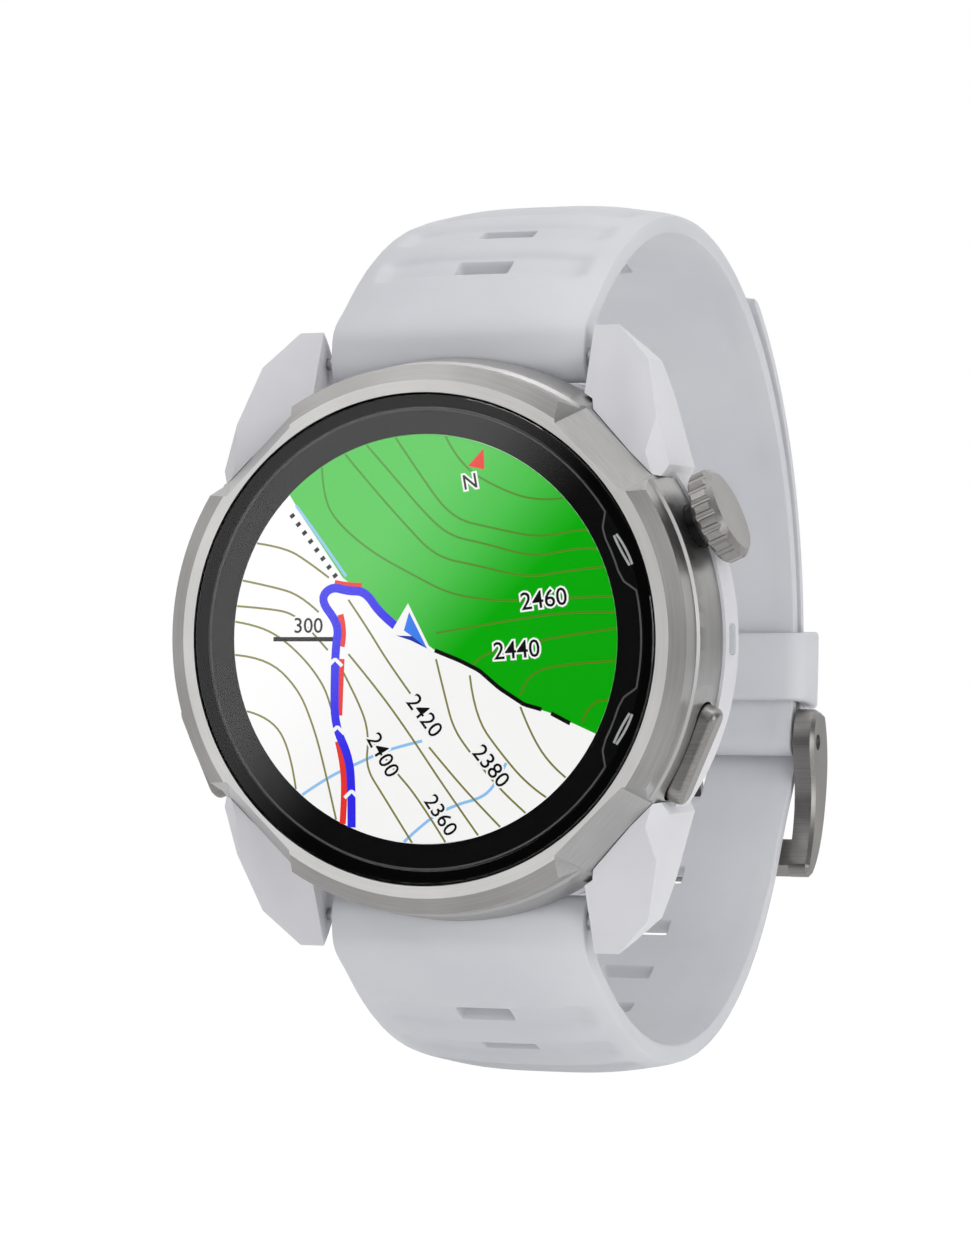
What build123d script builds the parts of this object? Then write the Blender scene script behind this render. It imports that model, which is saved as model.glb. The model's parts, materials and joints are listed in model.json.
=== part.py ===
"""GPS sports watch on a closed silicone strap, in millimetres.

The watch stands upright: the dial faces -Y, 12 o'clock is +Z and 3 o'clock is +X.
The origin is the centre of the sensor window's face, which lies on the wrist.
Heights are measured from that face towards the dial, and angles on the dial run from
3 o'clock towards 12 o'clock.
"""
import math
import os

from build123d import *

os.makedirs("parts", exist_ok=True)

# ---- case, bezel and screen ----
THICKNESS = 13.8          # sensor window's face to the glass
SENSOR_RISE = 1.3         # the sensor window stands this far out of the case back
LENS_DIA = 39.7
BORDER_WIDTH = 3.35       # black ring between the screen and the lens's edge
LENS_T = 0.8
LENS_EDGE = 0.2
GASKET_T = 0.3            # adhesive gasket under the lens
SEAT_WIDTH = 1.15         # bezel's lip that carries the lens
LIP_T = 1.3
LIP_LEDGE = 0.25          # edge of the lens to the bezel's wall under the lip
PANEL_T = 0.8
BACKLIGHT_T = 0.8
HOLDER_ROOM = 0.45        # round the screen, inside its holder
HOLDER_FLOOR = 2.5        # width of the holder's ledge under the screen
BEZEL_HEIGHT = 7.6        # glass to the bezel's lower edge
FLANGE_WIDTH = 1.0        # bright ring round the glass
WALL_HEIGHT = 3.2         # glass to the bezel's step
BEVEL_WIDTH = 1.3         # dark bevel outside the flange
BEVEL_DROP = 0.7
WALL_SLOPE = 1.4          # flange to the step, across
STEP_WIDTH = 0.25
SKIRT_SLOPE = 0.6         # and the wall below it this far
FACE_DROP = 0.05          # the flange's inner edge lies this far under the glass's face
FLANGE_DROP = 0.15        # and its outer edge this much lower
SKIRT_T = 1.85            # bezel's wall below the step
CASE_OVER = 0.25          # the polymer case stands out from under the bezel
CASE_ROUND = 1.3          # height of the sloped edge at the back of the case
VENT_LENGTH = 2.6         # shallow window of the pressure sensor's vent, at 3 o'clock
VENT_WIDTH = 1.9
VENT_CORNER = 0.5
VENT_DEPTH = 0.3
VENT_HEIGHT = 4.3
RIM_T = 1.2               # case rim that the bezel fits over
RIM_HEIGHT = 3.9
SHELF_T = 0.7             # shelf inside the rim, which carries the screen's holder
FLAT_ANGLE = 45.5         # the bezel's four flats face the lugs
FLAT_CUT = 0.95           # bezel's edge to the flat, at the lug
FLAT_LEAN = 2.0           # the flat leans in this far up to the glass
FLAT_DROP = 4.0           # height over which the flat slopes
FLAT_HALF = 3.9
FLAT_END_RUN = 2.5
FLAT_END_RISE = 1.75
FLAT_REACH = 6.0          # how far out the flat's cut goes
BACK_INSET = 3.8          # edge of the case to the case back
BACK_T = 1.35
BACK_SEAT = 1.3           # width of the case's seat for the case back
GASKET_WIDTH = 0.6
GASKET_DEPTH = 0.6
WINDOW_INSET = 6.4        # edge of the case back to the sensor window
SKIRT_INSET = 1.0         # edge of the sensor window to its skirt
WINDOW_T = 1.0
SENSOR_BOARD_T = 0.6
FIT = 0.05                # gap of parts that seat in one another
RUN = 0.05                # radial running clearance
LOOSE = 0.15              # gap round a button or a strap

# ---- lugs and spring bars ----
LUG_SPACE = 0.8           # strap's side to the lug
LUG_REACH = 2.45          # bezel's edge to the lug's tip
LUG_FRONT_HIGH = 9.8      # height of the lug's front face at the bezel
LUG_FRONT_LOW = 5.0       # and at its tip
LUG_TIP_WIDTH = 2.1
LUG_WIDTH = 5.0
LUG_ROOT_INSET = 4.0      # case's edge to the lug's root corner, across
LUG_EDGE = 1.3
LUG_TAPER = 2.9           # lug's tip to its widest corner, along the lug
LUG_SHOULDER = 11.6       # lug's tip to its root corner
LUG_FOOT = 3.0            # and the root corner's lower end
LUG_FACE_LENGTH = 10.6    # length of the lug's sloped front face
LUG_BACK_CURVE = 6.5      # length of the curve behind the tip
BAR_FROM_TIP = 2.6        # lug's tip to the spring bar
BAR_HEIGHT = 4.0
BAR_R = 0.8
TIP_R = 0.45
TIP_REACH = 1.3           # a tip's length inside the lug
LEVER_TRAVEL = 1.4
LEVER_X = 8.6
PEG_R = 0.45
ROD_ROOM = 9.0            # length of the tube's bore for the sliding tip and its spring
SPRING_WIRE_R = 0.08
SPRING_TURNS = 8

# ---- strap ----
STRAP_WIDTH = 22.2
STRAP_T = 2.7
LOOP_BACK = 22.1          # wrist face to the loop's centre
LOOP_IN = 35.5            # radius of the loop's inner face
TAIL_T = 1.75
LAY_GAP = 0.1             # tail to the strap under it
BARREL_R = 2.1            # strap end round its spring bar
STRAP_EDGE = 0.9          # rounding of the strap's outer edges
SLOT_WIDTH = 4.8
SLOT_LENGTH = 2.0
SLOT_FIRST_ANGLE = 125.0        # loop angle of the first slot, from the buckle side
SLOT_PITCH_ANGLE = 10.5
UPPER_SLOTS = 6
LOWER_SLOTS = 10
TAIL_SLOTS = 4
TAIL_END_ANGLE = 55.0
STRAP_END_ANGLE = -15.5         # loop angle of the buckle's bar
RISE_START_ANGLE = -32.0        # the lower strap rises over the upper one between these angles
RISE_END_ANGLE = -15.0
KEEPER_TOP_ANGLE = 1.0
KEEPER_ANGLE = 10.6
KEEPER_WALL = 1.15

# ---- buckle ----
BUCKLE_RISE = 3.5         # strap's face to the highest point of the buckle's side plates
BUCKLE_BAR_R = 0.75
PLATE_T = 2.0
TONGUE_WIDTH = 3.2
TONGUE_T = 0.9
TONGUE_EYE_R = 1.25
TONGUE_BEND = 0.8
REST_BAR_RISE = 2.8       # strap's face to the bar that the tongue rests on
REST_BAR_T = 2.4
TONGUE_SLOT_ANGLES = (-24.2, -16.4)

# ---- crown and buttons ----
CROWN_ANGLE = 23.2
CROWN_HEIGHT = 6.9
CROWN_DIA = 7.7
CROWN_LENGTH = 2.0
CROWN_GAP = 0.75          # case to the crown's inner face
FLUTES = 20
FLUTE_R = 0.34
STEM_R = 1.05
TUBE_R = 1.85
TUBE_INSIDE = 0.2         # the tube and the button guides stand this far into the case
CROWN_TRAVEL = 0.3
BACK_BUTTON_ANGLE = -23.5
ACTION_BUTTON_ANGLE = 203.5
BUTTON_LIFT = 0.35        # bezel's lower edge to a button
BUTTON_LENGTH = 8.4
BUTTON_WIDTH = 2.4
BUTTON_PROUD = 0.6        # a button's face stands this far out of the case
BUTTON_CAP_T = 1.8
BUTTON_EDGE = 0.5
BUTTON_STEM_R = 0.75
GUIDE_R = 1.25
BUTTON_TRAVEL = 0.5
BUTTON_SEAL_IN = 0.25     # inside of the case to a button's seal
SEAL_WIDTH = 0.6
SEAL_DEPTH = 0.3
CLIP_T = 0.4
STEM_REACH = 2.95         # the parts that press a switch reach this far into the case
SWITCH_PLUNGER = 0.3
SWITCH_DEPTH = 1.7
SWITCH_WIDTH = 3.6
SWITCH_TALL = 3.2

# ---- inside the case ----
BOSS_INSET = 2.6          # edge of the case back to the screws
BOSS_R = 1.7
SCREW_R = 0.7
SCREW_HEAD_R = 1.15
SCREW_HEAD_T = 0.6
SCREW_LENGTH = 3.0
BOARD_GAP = 1.75          # board's edge to the case
BOARD_T = 0.7
BOARD_HEIGHT = 8.8
BATTERY_SIDE = 6.0        # circle of the screws to the battery's sides
BATTERY_END = 7.2         # and to its ends
BATTERY_T = 5.1
BATTERY_CORNER = 1.5
PAD_INSET = 2.5
PAD_T = 0.25
CHIP_T = 0.65
MOTOR_R = 2.0
MOTOR_LENGTH = 8.0
MOTOR_INSET = 6.65        # case to the motor's axis
SHAFT_R = 0.4
WEIGHT_LENGTH = 3.4
SPEAKER_R = 3.0
SPEAKER_T = 2.4
SPEAKER_INSET = 6.45      # case to the speaker's axis
ANTENNA_TALL = 2.0
ANTENNA_T = 0.8
ANTENNA_START_ANGLE = 60.0
ANTENNA_ANGLE = 120.0
CONTACTS = 4
CONTACT_PITCH = 2.4
CONTACT_R = 0.7
CONTACT_INSET = 3.9       # edge of the case back to the contacts
LED_SIZE = 1.8
LED_INSET = 5.7           # sensor window's skirt to the middle of the outer lights

# ---- places worked out from the sizes above ----
LENS_R = LENS_DIA / 2
DISPLAY_R = LENS_R - BORDER_WIDTH
LENS_BACK = THICKNESS - LENS_T
SEAT = LENS_BACK - GASKET_T
BEZEL_LOW = THICKNESS - BEZEL_HEIGHT
STEP = THICKNESS - WALL_HEIGHT
FLANGE_OUT = LENS_R + FIT + FLANGE_WIDTH
FLANGE_LOW = THICKNESS - FACE_DROP - FLANGE_DROP
STEP_R = FLANGE_OUT + WALL_SLOPE
BEZEL_R = STEP_R + STEP_WIDTH + SKIRT_SLOPE
CASE_R = BEZEL_R + CASE_OVER
FLAT_LOW = BEZEL_R - FLAT_CUT
FLAT_HIGH = FLAT_LOW - FLAT_LEAN
SKIRT_IN = BEZEL_R - SKIRT_T
RIM_OUT = SKIRT_IN - FIT
CASE_IN = RIM_OUT - RIM_T
SHELF = BEZEL_LOW + RIM_HEIGHT
LIP_IN = LENS_R - SEAT_WIDTH
BACK_TOP = SENSOR_RISE + BACK_T
BACK_R = CASE_R - BACK_INSET
WINDOW_R = BACK_R - WINDOW_INSET
WINDOW_SKIRT = WINDOW_R - SKIRT_INSET
LOOP_OUT = LOOP_IN + STRAP_T
LOOP_MID = LOOP_IN + STRAP_T / 2
TAIL_IN = LOOP_OUT + LAY_GAP
TAIL_OUT = TAIL_IN + TAIL_T
BOARD_TOP = BOARD_HEIGHT + BOARD_T
BOARD_R = CASE_IN - BOARD_GAP
BOSS_RING = BACK_R - BOSS_INSET
MOTOR_UP = CASE_IN - MOTOR_INSET
SPEAKER_DOWN = CASE_IN - SPEAKER_INSET
CONTACT_DOWN = BACK_R - CONTACT_INSET
STEM_END = CASE_IN - STEM_REACH
BUTTON_HEIGHT = BEZEL_LOW + BUTTON_LIFT + BUTTON_WIDTH / 2
BUTTON_OUT = CASE_R + BUTTON_PROUD
BUTTON_IN = BUTTON_OUT - BUTTON_CAP_T
BUTTON_SEAL_AT = CASE_IN + BUTTON_SEAL_IN
LUG_GAP = STRAP_WIDTH + 2 * LUG_SPACE
LUG_TIP = BEZEL_R + LUG_REACH
BAR_OFFSET = LUG_TIP - BAR_FROM_TIP
LUG_IN = LUG_GAP / 2
LUG_ROOT = CASE_R - LUG_ROOT_INSET - LUG_IN
LED_PLACE = WINDOW_SKIRT - LED_INSET
BAR_HALF = LUG_IN - 0.5   # half the length of a spring bar's tube
PLATE_IN = STRAP_WIDTH / 2 + 0.4
PLATE_OUT = PLATE_IN + PLATE_T
REST_BAR_OUT = LOOP_OUT + REST_BAR_RISE
REST_BAR_IN = REST_BAR_OUT - REST_BAR_T
CORNERS = [(BOSS_RING * math.cos(math.radians(a)), BOSS_RING * math.sin(math.radians(a)))
           for a in (45, 135, 225, 315)]


def level(height):
    """Plane parallel to the dial: x to 3 o'clock, y to 12 o'clock, facing the viewer."""
    return Plane(origin=(0, -height, 0), x_dir=(1, 0, 0), z_dir=(0, -1, 0))


def spoke(angle, radius, height):
    """Plane across a radius of the dial, facing outward: x along the rim, y towards the viewer."""
    out_x = math.cos(math.radians(angle))
    out_z = math.sin(math.radians(angle))
    origin = (radius * out_x, -height, radius * out_z)
    return Plane(origin=origin, x_dir=(-out_z, 0, out_x), z_dir=(out_x, 0, out_z))


def on_loop(radius, angle):
    """A point of the strap's side view, at a radius and an angle round the loop's centre."""
    turn = math.radians(angle)
    return (LOOP_BACK + radius * math.cos(turn), radius * math.sin(turn))


def loop_plane(angle):
    """Plane across the strap at a loop angle: x to 3 o'clock, y away from the loop's centre."""
    turn = math.radians(angle)
    return Plane(origin=(0, LOOP_BACK, 0), x_dir=(1, 0, 0),
                 z_dir=(0, -math.sin(turn), math.cos(turn)))


def climb(low, high, angle):
    """Radius of the lower strap's face, where it climbs from low to high over the upper strap."""
    part_way = min(max((angle - RISE_START_ANGLE) / (RISE_END_ANGLE - RISE_START_ANGLE), 0), 1)
    return low + (high - low) * part_way ** 2 * (3 - 2 * part_way)


section = Plane(origin=(0, 0, 0), x_dir=(1, 0, 0), z_dir=(0, 0, -1))   # radius and height
loop_axis = Axis((0, LOOP_BACK, 0), (1, 0, 0))


def disc(radius, low, high, mode=Mode.ADD):
    """A plain disc round the dial's axis, in the part that is being built."""
    with BuildSketch(level(low)) as outline:
        Circle(radius)
    extrude(outline.sketch, amount=high - low, mode=mode)


def ring(inner, outer, low, high):
    """A plain ring round the dial's axis, in the part that is being built."""
    with BuildSketch(level(low)) as outline:
        Circle(outer)
        Circle(inner, mode=Mode.SUBTRACT)
    extrude(outline.sketch, amount=high - low)


def rod(angle, height, radius, start, end, mode=Mode.ADD):
    """A round rod or hole along a radius of the dial."""
    with BuildSketch(spoke(angle, start, height)) as outline:
        Circle(radius)
    extrude(outline.sketch, amount=end - start, mode=mode)


def pill(angle, gap, start, end, mode=Mode.ADD):
    """A button's outline, gap larger all round, from one radius to another."""
    with BuildSketch(spoke(angle, start, BUTTON_HEIGHT)) as outline:
        SlotOverall(BUTTON_LENGTH + 2 * gap, BUTTON_WIDTH + 2 * gap)
    extrude(outline.sketch, amount=end - start, mode=mode)


def cross_rod(depth, up, radius, start, end, mode=Mode.ADD):
    """A round rod or hole along x, at a depth and height of the side view."""
    with BuildSketch(Plane.YZ.offset(start)) as outline:
        with Locations((depth, up)):
            Circle(radius)
    extrude(outline.sketch, amount=end - start, mode=mode)


def cut_flats(gap):
    """Cuts the four flats off the bezel's corners; the room in the case is gap larger."""
    half = FLAT_HALF + FLAT_END_RUN
    lean = FLAT_LEAN / FLAT_DROP
    slope = math.hypot(FLAT_LEAN, FLAT_DROP) + FLAT_REACH * lean
    for angle in (FLAT_ANGLE, 180 - FLAT_ANGLE, 180 + FLAT_ANGLE, -FLAT_ANGLE):
        out_x = math.cos(math.radians(angle))
        out_z = math.sin(math.radians(angle))
        high = FLAT_HIGH + gap
        low = FLAT_LOW + gap
        sloped = Plane(origin=(high * out_x, -THICKNESS, high * out_z), x_dir=(-out_z, 0, out_x),
                       z_dir=(lean * out_x, 1, lean * out_z))
        upright = Plane(origin=(low * out_x, FLAT_DROP - THICKNESS, low * out_z),
                        x_dir=(-out_z, 0, out_x), z_dir=(0, 1, 0))
        for plane, start, length in ((sloped, -1.0, slope), (upright, 0.0, BEZEL_HEIGHT)):
            with BuildSketch(plane.offset(start)) as outline:
                with BuildLine():
                    Polyline((-half, FLAT_END_RISE), (-FLAT_HALF, 0), (FLAT_HALF, 0),
                             (half, FLAT_END_RISE), (half, FLAT_REACH), (-half, FLAT_REACH),
                             close=True)
                make_face()
            extrude(outline.sketch, amount=length - start, mode=Mode.SUBTRACT)


# ---- bezel: flange, bevel, wall, step and skirt, with a flat at each lug ----
with BuildPart() as bezel:
    with BuildSketch(section):
        with BuildLine():
            Polyline((LENS_R + FIT, THICKNESS - FACE_DROP),
                     (FLANGE_OUT, FLANGE_LOW),
                     (FLANGE_OUT + BEVEL_WIDTH, FLANGE_LOW - BEVEL_DROP),
                     (STEP_R, STEP), (STEP_R + STEP_WIDTH, STEP - FLANGE_DROP),
                     (BEZEL_R, BEZEL_LOW), (SKIRT_IN, BEZEL_LOW), (SKIRT_IN, SHELF + FIT),
                     (LENS_R - LIP_LEDGE, SHELF + FIT), (LENS_R - LIP_LEDGE, SEAT - LIP_T),
                     (LIP_IN, SEAT - LIP_T), (LIP_IN, SEAT), (LENS_R + FIT, SEAT), close=True)
        make_face()
    revolve(axis=Axis.Y)
    cut_flats(0)
    for angle in (BACK_BUTTON_ANGLE, ACTION_BUTTON_ANGLE):
        pill(angle, LOOSE, CASE_IN, BUTTON_OUT, Mode.SUBTRACT)
    rod(CROWN_ANGLE, CROWN_HEIGHT, TUBE_R + FIT, CASE_IN, BUTTON_OUT, Mode.SUBTRACT)

# ---- lens, its gasket, the black border and the screen under it ----
with BuildPart() as lens:
    disc(LENS_R, LENS_BACK, THICKNESS)
    chamfer(lens.faces().sort_by(Axis.Y)[0].edges(), LENS_EDGE)

with BuildPart() as lens_gasket:
    ring(LIP_IN + FIT, LENS_R - FIT, SEAT, LENS_BACK)

with BuildPart() as border_ring:
    ring(DISPLAY_R + FIT, LIP_IN - FIT, SEAT - FIT, LENS_BACK - FIT)

with BuildPart() as display_panel:
    disc(DISPLAY_R, SEAT - PANEL_T, LENS_BACK - 2 * FIT)

with BuildPart() as backlight:
    disc(DISPLAY_R + HOLDER_ROOM - FIT, SEAT - PANEL_T - BACKLIGHT_T, SEAT - PANEL_T - FIT)

with BuildPart() as display_holder:
    holder_floor = SEAT - PANEL_T - BACKLIGHT_T - FIT
    ring(DISPLAY_R + HOLDER_ROOM, LIP_IN - FIT, SHELF + FIT, SEAT - 2 * FIT)
    ring(DISPLAY_R + HOLDER_ROOM, LENS_R - LIP_LEDGE - FIT, SHELF + FIT, SEAT - LIP_T - FIT)
    ring(DISPLAY_R - HOLDER_FLOOR, DISPLAY_R + HOLDER_ROOM, SHELF + FIT, holder_floor)

# ---- one lug, the four lugs, then the case that carries them ----
lug_back = SENSOR_RISE + 0.3
with BuildPart() as lug:
    with BuildSketch(level(lug_back)):
        with BuildLine():
            Polyline((LUG_IN, LUG_TIP - LUG_SHOULDER), (LUG_IN, LUG_TIP),
                     (LUG_IN + LUG_TIP_WIDTH, LUG_TIP), (LUG_IN + LUG_WIDTH, LUG_TIP - LUG_TAPER),
                     (LUG_IN + LUG_ROOT, LUG_TIP - LUG_SHOULDER),
                     (LUG_IN + LUG_ROOT - LUG_FOOT / 2, LUG_TIP - LUG_SHOULDER - LUG_FOOT),
                     close=True)
        make_face()
    extrude(amount=LUG_FRONT_HIGH)
    with BuildSketch(Plane.YZ):
        with BuildLine():
            Polyline((-LUG_FRONT_LOW, LUG_TIP), (-LUG_FRONT_HIGH, LUG_TIP - LUG_FACE_LENGTH),
                     (-LUG_FRONT_HIGH, 0), (-lug_back, 0), (-lug_back, LUG_TIP - LUG_BACK_CURVE))
            ThreePointArc((-lug_back, LUG_TIP - LUG_BACK_CURVE),
                          (-lug_back - 1, LUG_TIP - LUG_TAPER), (-LUG_FRONT_LOW, LUG_TIP))
        make_face()
    extrude(amount=LUG_GAP, mode=Mode.INTERSECT)
    front = lug.faces().sort_by(lambda f: f.normal_at().Y)[0]
    chamfer(front.edges().sort_by(Axis.X)[-1], LUG_EDGE)

with BuildPart() as bezel_room:
    disc(BEZEL_R + FIT, BEZEL_LOW - FIT, THICKNESS + 1)
    cut_flats(FIT)

with BuildPart() as four_lugs:
    add(lug.part)
    mirror(about=Plane.YZ)
    mirror(about=Plane.XY)
    add(bezel_room.part, mode=Mode.SUBTRACT)
    disc(CASE_IN + RIM_T / 2, 0, THICKNESS, Mode.SUBTRACT)

with BuildPart() as mid_case:
    with BuildSketch(section):
        with BuildLine():
            Polyline((CASE_IN - RIM_T, SHELF), (RIM_OUT, SHELF), (RIM_OUT, BEZEL_LOW - FIT),
                     (CASE_R, BEZEL_LOW - FIT), (CASE_R, SENSOR_RISE + CASE_ROUND),
                     (CASE_R - 1.5, SENSOR_RISE),
                     (BACK_R + FIT, SENSOR_RISE), (BACK_R + FIT, BACK_TOP + FIT),
                     (BACK_R - BACK_SEAT, BACK_TOP + FIT), (BACK_R - BACK_SEAT, BACK_TOP + 1.2),
                     (CASE_IN, BACK_TOP + 1.2), (CASE_IN, SHELF - SHELF_T),
                     (CASE_IN - RIM_T, SHELF - SHELF_T), close=True)
        make_face()
    revolve(axis=Axis.Y)
    for side in (1, -1):
        with BuildSketch(level(0)):
            with Locations((0, side * (BAR_OFFSET - BARREL_R - LOOSE + LUG_TIP / 2))):
                Rectangle(LUG_GAP, LUG_TIP)
        extrude(amount=BEZEL_LOW - FIT, mode=Mode.SUBTRACT)
    add(four_lugs.part)
    with BuildSketch(level(BACK_TOP + FIT)):
        with Locations(*CORNERS):
            Circle(BOSS_R)
    extrude(amount=BOARD_HEIGHT - BACK_TOP - FIT)
    with BuildSketch(level(BACK_TOP)):
        with Locations(*CORNERS):
            Circle(SCREW_R + 0.02)
    extrude(amount=BOARD_HEIGHT - BACK_TOP, mode=Mode.SUBTRACT)
    rod(CROWN_ANGLE, CROWN_HEIGHT, TUBE_R, CASE_IN - RIM_T, CASE_R + 1, Mode.SUBTRACT)
    for angle in (BACK_BUTTON_ANGLE, ACTION_BUTTON_ANGLE):
        rod(angle, BUTTON_HEIGHT, GUIDE_R, CASE_IN - RIM_T, CASE_R, Mode.SUBTRACT)
    for side in (1, -1):
        cross_rod(-BAR_HEIGHT, side * BAR_OFFSET, TIP_R + RUN, -LUG_IN - TIP_REACH,
                  LUG_IN + TIP_REACH, Mode.SUBTRACT)
    with BuildSketch(spoke(0, CASE_R - VENT_DEPTH, VENT_HEIGHT)):
        RectangleRounded(VENT_LENGTH, VENT_WIDTH, VENT_CORNER)
    extrude(amount=VENT_DEPTH, mode=Mode.SUBTRACT)

# ---- case back, its gasket and screws, the sensor and the charging contacts ----
contact_places = [((n - (CONTACTS - 1) / 2) * CONTACT_PITCH, -CONTACT_DOWN)
                  for n in range(CONTACTS)]
gasket_in = BACK_R - BACK_SEAT + 0.3
with BuildPart() as case_back:
    ring(WINDOW_SKIRT + FIT, BACK_R, SENSOR_RISE, BACK_TOP)
    with BuildSketch(level(SENSOR_RISE)):
        with Locations(*CORNERS):
            Circle(SCREW_R + 0.1)
        with Locations(*contact_places):
            Circle(CONTACT_R)
    extrude(amount=BACK_T, mode=Mode.SUBTRACT)
    with BuildSketch(level(SENSOR_RISE)):
        with Locations(*CORNERS):
            Circle(SCREW_HEAD_R + 0.1)
    extrude(amount=SCREW_HEAD_T, mode=Mode.SUBTRACT)
    with BuildSketch(level(BACK_TOP - GASKET_DEPTH)):
        Circle(gasket_in + GASKET_WIDTH)
        Circle(gasket_in, mode=Mode.SUBTRACT)
    extrude(amount=GASKET_DEPTH, mode=Mode.SUBTRACT)

with BuildPart() as case_back_gasket:
    ring(gasket_in, gasket_in + GASKET_WIDTH, BACK_TOP - GASKET_DEPTH, BACK_TOP + FIT)

with BuildPart() as case_back_screws:
    with BuildSketch(level(SENSOR_RISE + FIT)):
        with Locations(*CORNERS):
            Circle(SCREW_HEAD_R)
    extrude(amount=SCREW_HEAD_T - FIT)
    with BuildSketch(level(SENSOR_RISE + FIT)):
        with Locations(*CORNERS):
            Circle(SCREW_R)
    extrude(amount=BACK_T + SCREW_LENGTH)
    with BuildSketch(level(SENSOR_RISE + FIT)):
        with Locations(*CORNERS):
            RegularPolygon(SCREW_R * 0.7, 6)
    extrude(amount=SCREW_HEAD_T / 2, mode=Mode.SUBTRACT)

with BuildPart() as board_screws:
    with BuildSketch(level(BOARD_TOP)):
        with Locations(*CORNERS):
            Circle(SCREW_HEAD_R)
    extrude(amount=SCREW_HEAD_T)
    with BuildSketch(level(BOARD_TOP - BOARD_T - SCREW_LENGTH / 2)):
        with Locations(*CORNERS):
            Circle(SCREW_R)
    extrude(amount=BOARD_T + SCREW_LENGTH / 2)

with BuildPart() as sensor_window:
    with BuildSketch(section):
        with BuildLine():
            Polyline((0, 0), (WINDOW_R - 1, 0), (WINDOW_R + 0.6, SENSOR_RISE - 0.6),
                     (WINDOW_R + 0.8, SENSOR_RISE), (WINDOW_SKIRT, SENSOR_RISE),
                     (WINDOW_SKIRT, BACK_TOP), (WINDOW_SKIRT - 1, BACK_TOP),
                     (WINDOW_SKIRT - 1, WINDOW_T), (0, WINDOW_T), close=True)
        make_face()
    revolve(axis=Axis.Y)

with BuildPart() as sensor_board:
    disc(WINDOW_SKIRT - 1 - FIT, BACK_TOP - SENSOR_BOARD_T, BACK_TOP)

with BuildPart() as sensor_leds:
    with BuildSketch(level(WINDOW_T + FIT)):
        Rectangle(1.5 * LED_SIZE, 1.5 * LED_SIZE)
        with PolarLocations(LED_PLACE, 4):
            Rectangle(LED_SIZE, LED_SIZE)
        with PolarLocations(LED_PLACE, 4, start_angle=45):
            Rectangle(1.3 * LED_SIZE, LED_SIZE)
    extrude(amount=BACK_TOP - SENSOR_BOARD_T - WINDOW_T - FIT)

with BuildPart() as charge_contacts:
    with BuildSketch(level(SENSOR_RISE + 0.1)):
        with Locations(*contact_places):
            Circle(CONTACT_R)
    extrude(amount=BACK_T + 0.4)

# ---- board, battery, motor, speaker and antenna ----
with BuildPart() as main_board:
    disc(BOARD_R, BOARD_HEIGHT, BOARD_TOP)
    with BuildSketch(level(BOARD_HEIGHT)):
        with Locations(*CORNERS):
            Circle(SCREW_R + 0.1)
    extrude(amount=BOARD_T, mode=Mode.SUBTRACT)

chips = [(-5.0, 4.5, 9.0, 8.0), (6.0, 5.5, 7.0, 6.0), (5.5, -4.0, 8.5, 7.5), (-6.0, -5.5, 6.0, 6.0)]
with BuildPart() as board_chips:
    for x, z, wide, tall in chips:
        with BuildSketch(level(BOARD_TOP)):
            with Locations((x, z)):
                RectangleRounded(wide, tall, 0.4)
        extrude(amount=CHIP_T)

battery_wide = 2 * (BOSS_RING - BATTERY_SIDE)
battery_tall = 2 * (BOSS_RING - BATTERY_END)
with BuildPart() as battery:
    with BuildSketch(level(BACK_TOP + PAD_T)):
        RectangleRounded(battery_wide, battery_tall, BATTERY_CORNER)
    extrude(amount=BATTERY_T)
    fillet(battery.edges().filter_by(Plane.XZ), 0.5)

with BuildPart() as battery_pad:
    with BuildSketch(level(BACK_TOP)):
        Rectangle(battery_wide - 2 * PAD_INSET, battery_tall - 2 * PAD_INSET)
    extrude(amount=PAD_T)

motor_height = BACK_TOP + MOTOR_R + 0.1
with BuildPart() as vibration_motor:
    cross_rod(-motor_height, MOTOR_UP, MOTOR_R, -MOTOR_LENGTH * 0.75, MOTOR_LENGTH / 4)
    cross_rod(-motor_height, MOTOR_UP, SHAFT_R + RUN, MOTOR_LENGTH / 4 - 2, MOTOR_LENGTH / 4,
              Mode.SUBTRACT)

with BuildPart() as motor_shaft:
    cross_rod(-motor_height, MOTOR_UP, SHAFT_R, MOTOR_LENGTH / 4 - 1.9,
              MOTOR_LENGTH / 4 + WEIGHT_LENGTH + 0.6)

with BuildPart() as motor_weight:
    weight_x = MOTOR_LENGTH / 4 + 0.3
    cross_rod(-motor_height, MOTOR_UP, MOTOR_R - 0.15, weight_x, weight_x + WEIGHT_LENGTH)
    with BuildSketch(Plane.YZ.offset(weight_x)):
        with Locations((-motor_height, MOTOR_UP + MOTOR_R / 2 + 0.6)):
            Rectangle(2 * MOTOR_R, MOTOR_R)
    extrude(amount=WEIGHT_LENGTH, mode=Mode.SUBTRACT)
    cross_rod(-motor_height, MOTOR_UP, SHAFT_R, weight_x, weight_x + WEIGHT_LENGTH, Mode.SUBTRACT)

speaker_low = BACK_TOP + 0.7
with BuildPart() as speaker:
    with BuildSketch(level(speaker_low)):
        with Locations((0, -SPEAKER_DOWN)):
            Circle(SPEAKER_R)
    extrude(amount=SPEAKER_T)

with BuildPart() as antenna_ring:
    with BuildSketch(level(SHELF - SHELF_T - ANTENNA_TALL - FIT)):
        with BuildLine():
            outer = CenterArc((0, 0), CASE_IN - FIT, ANTENNA_START_ANGLE, ANTENNA_ANGLE)
            inner = CenterArc((0, 0), CASE_IN - FIT - ANTENNA_T, ANTENNA_START_ANGLE, ANTENNA_ANGLE)
            Line(outer @ 0, inner @ 0)
            Line(outer @ 1, inner @ 1)
        make_face()
    extrude(amount=ANTENNA_TALL)

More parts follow.
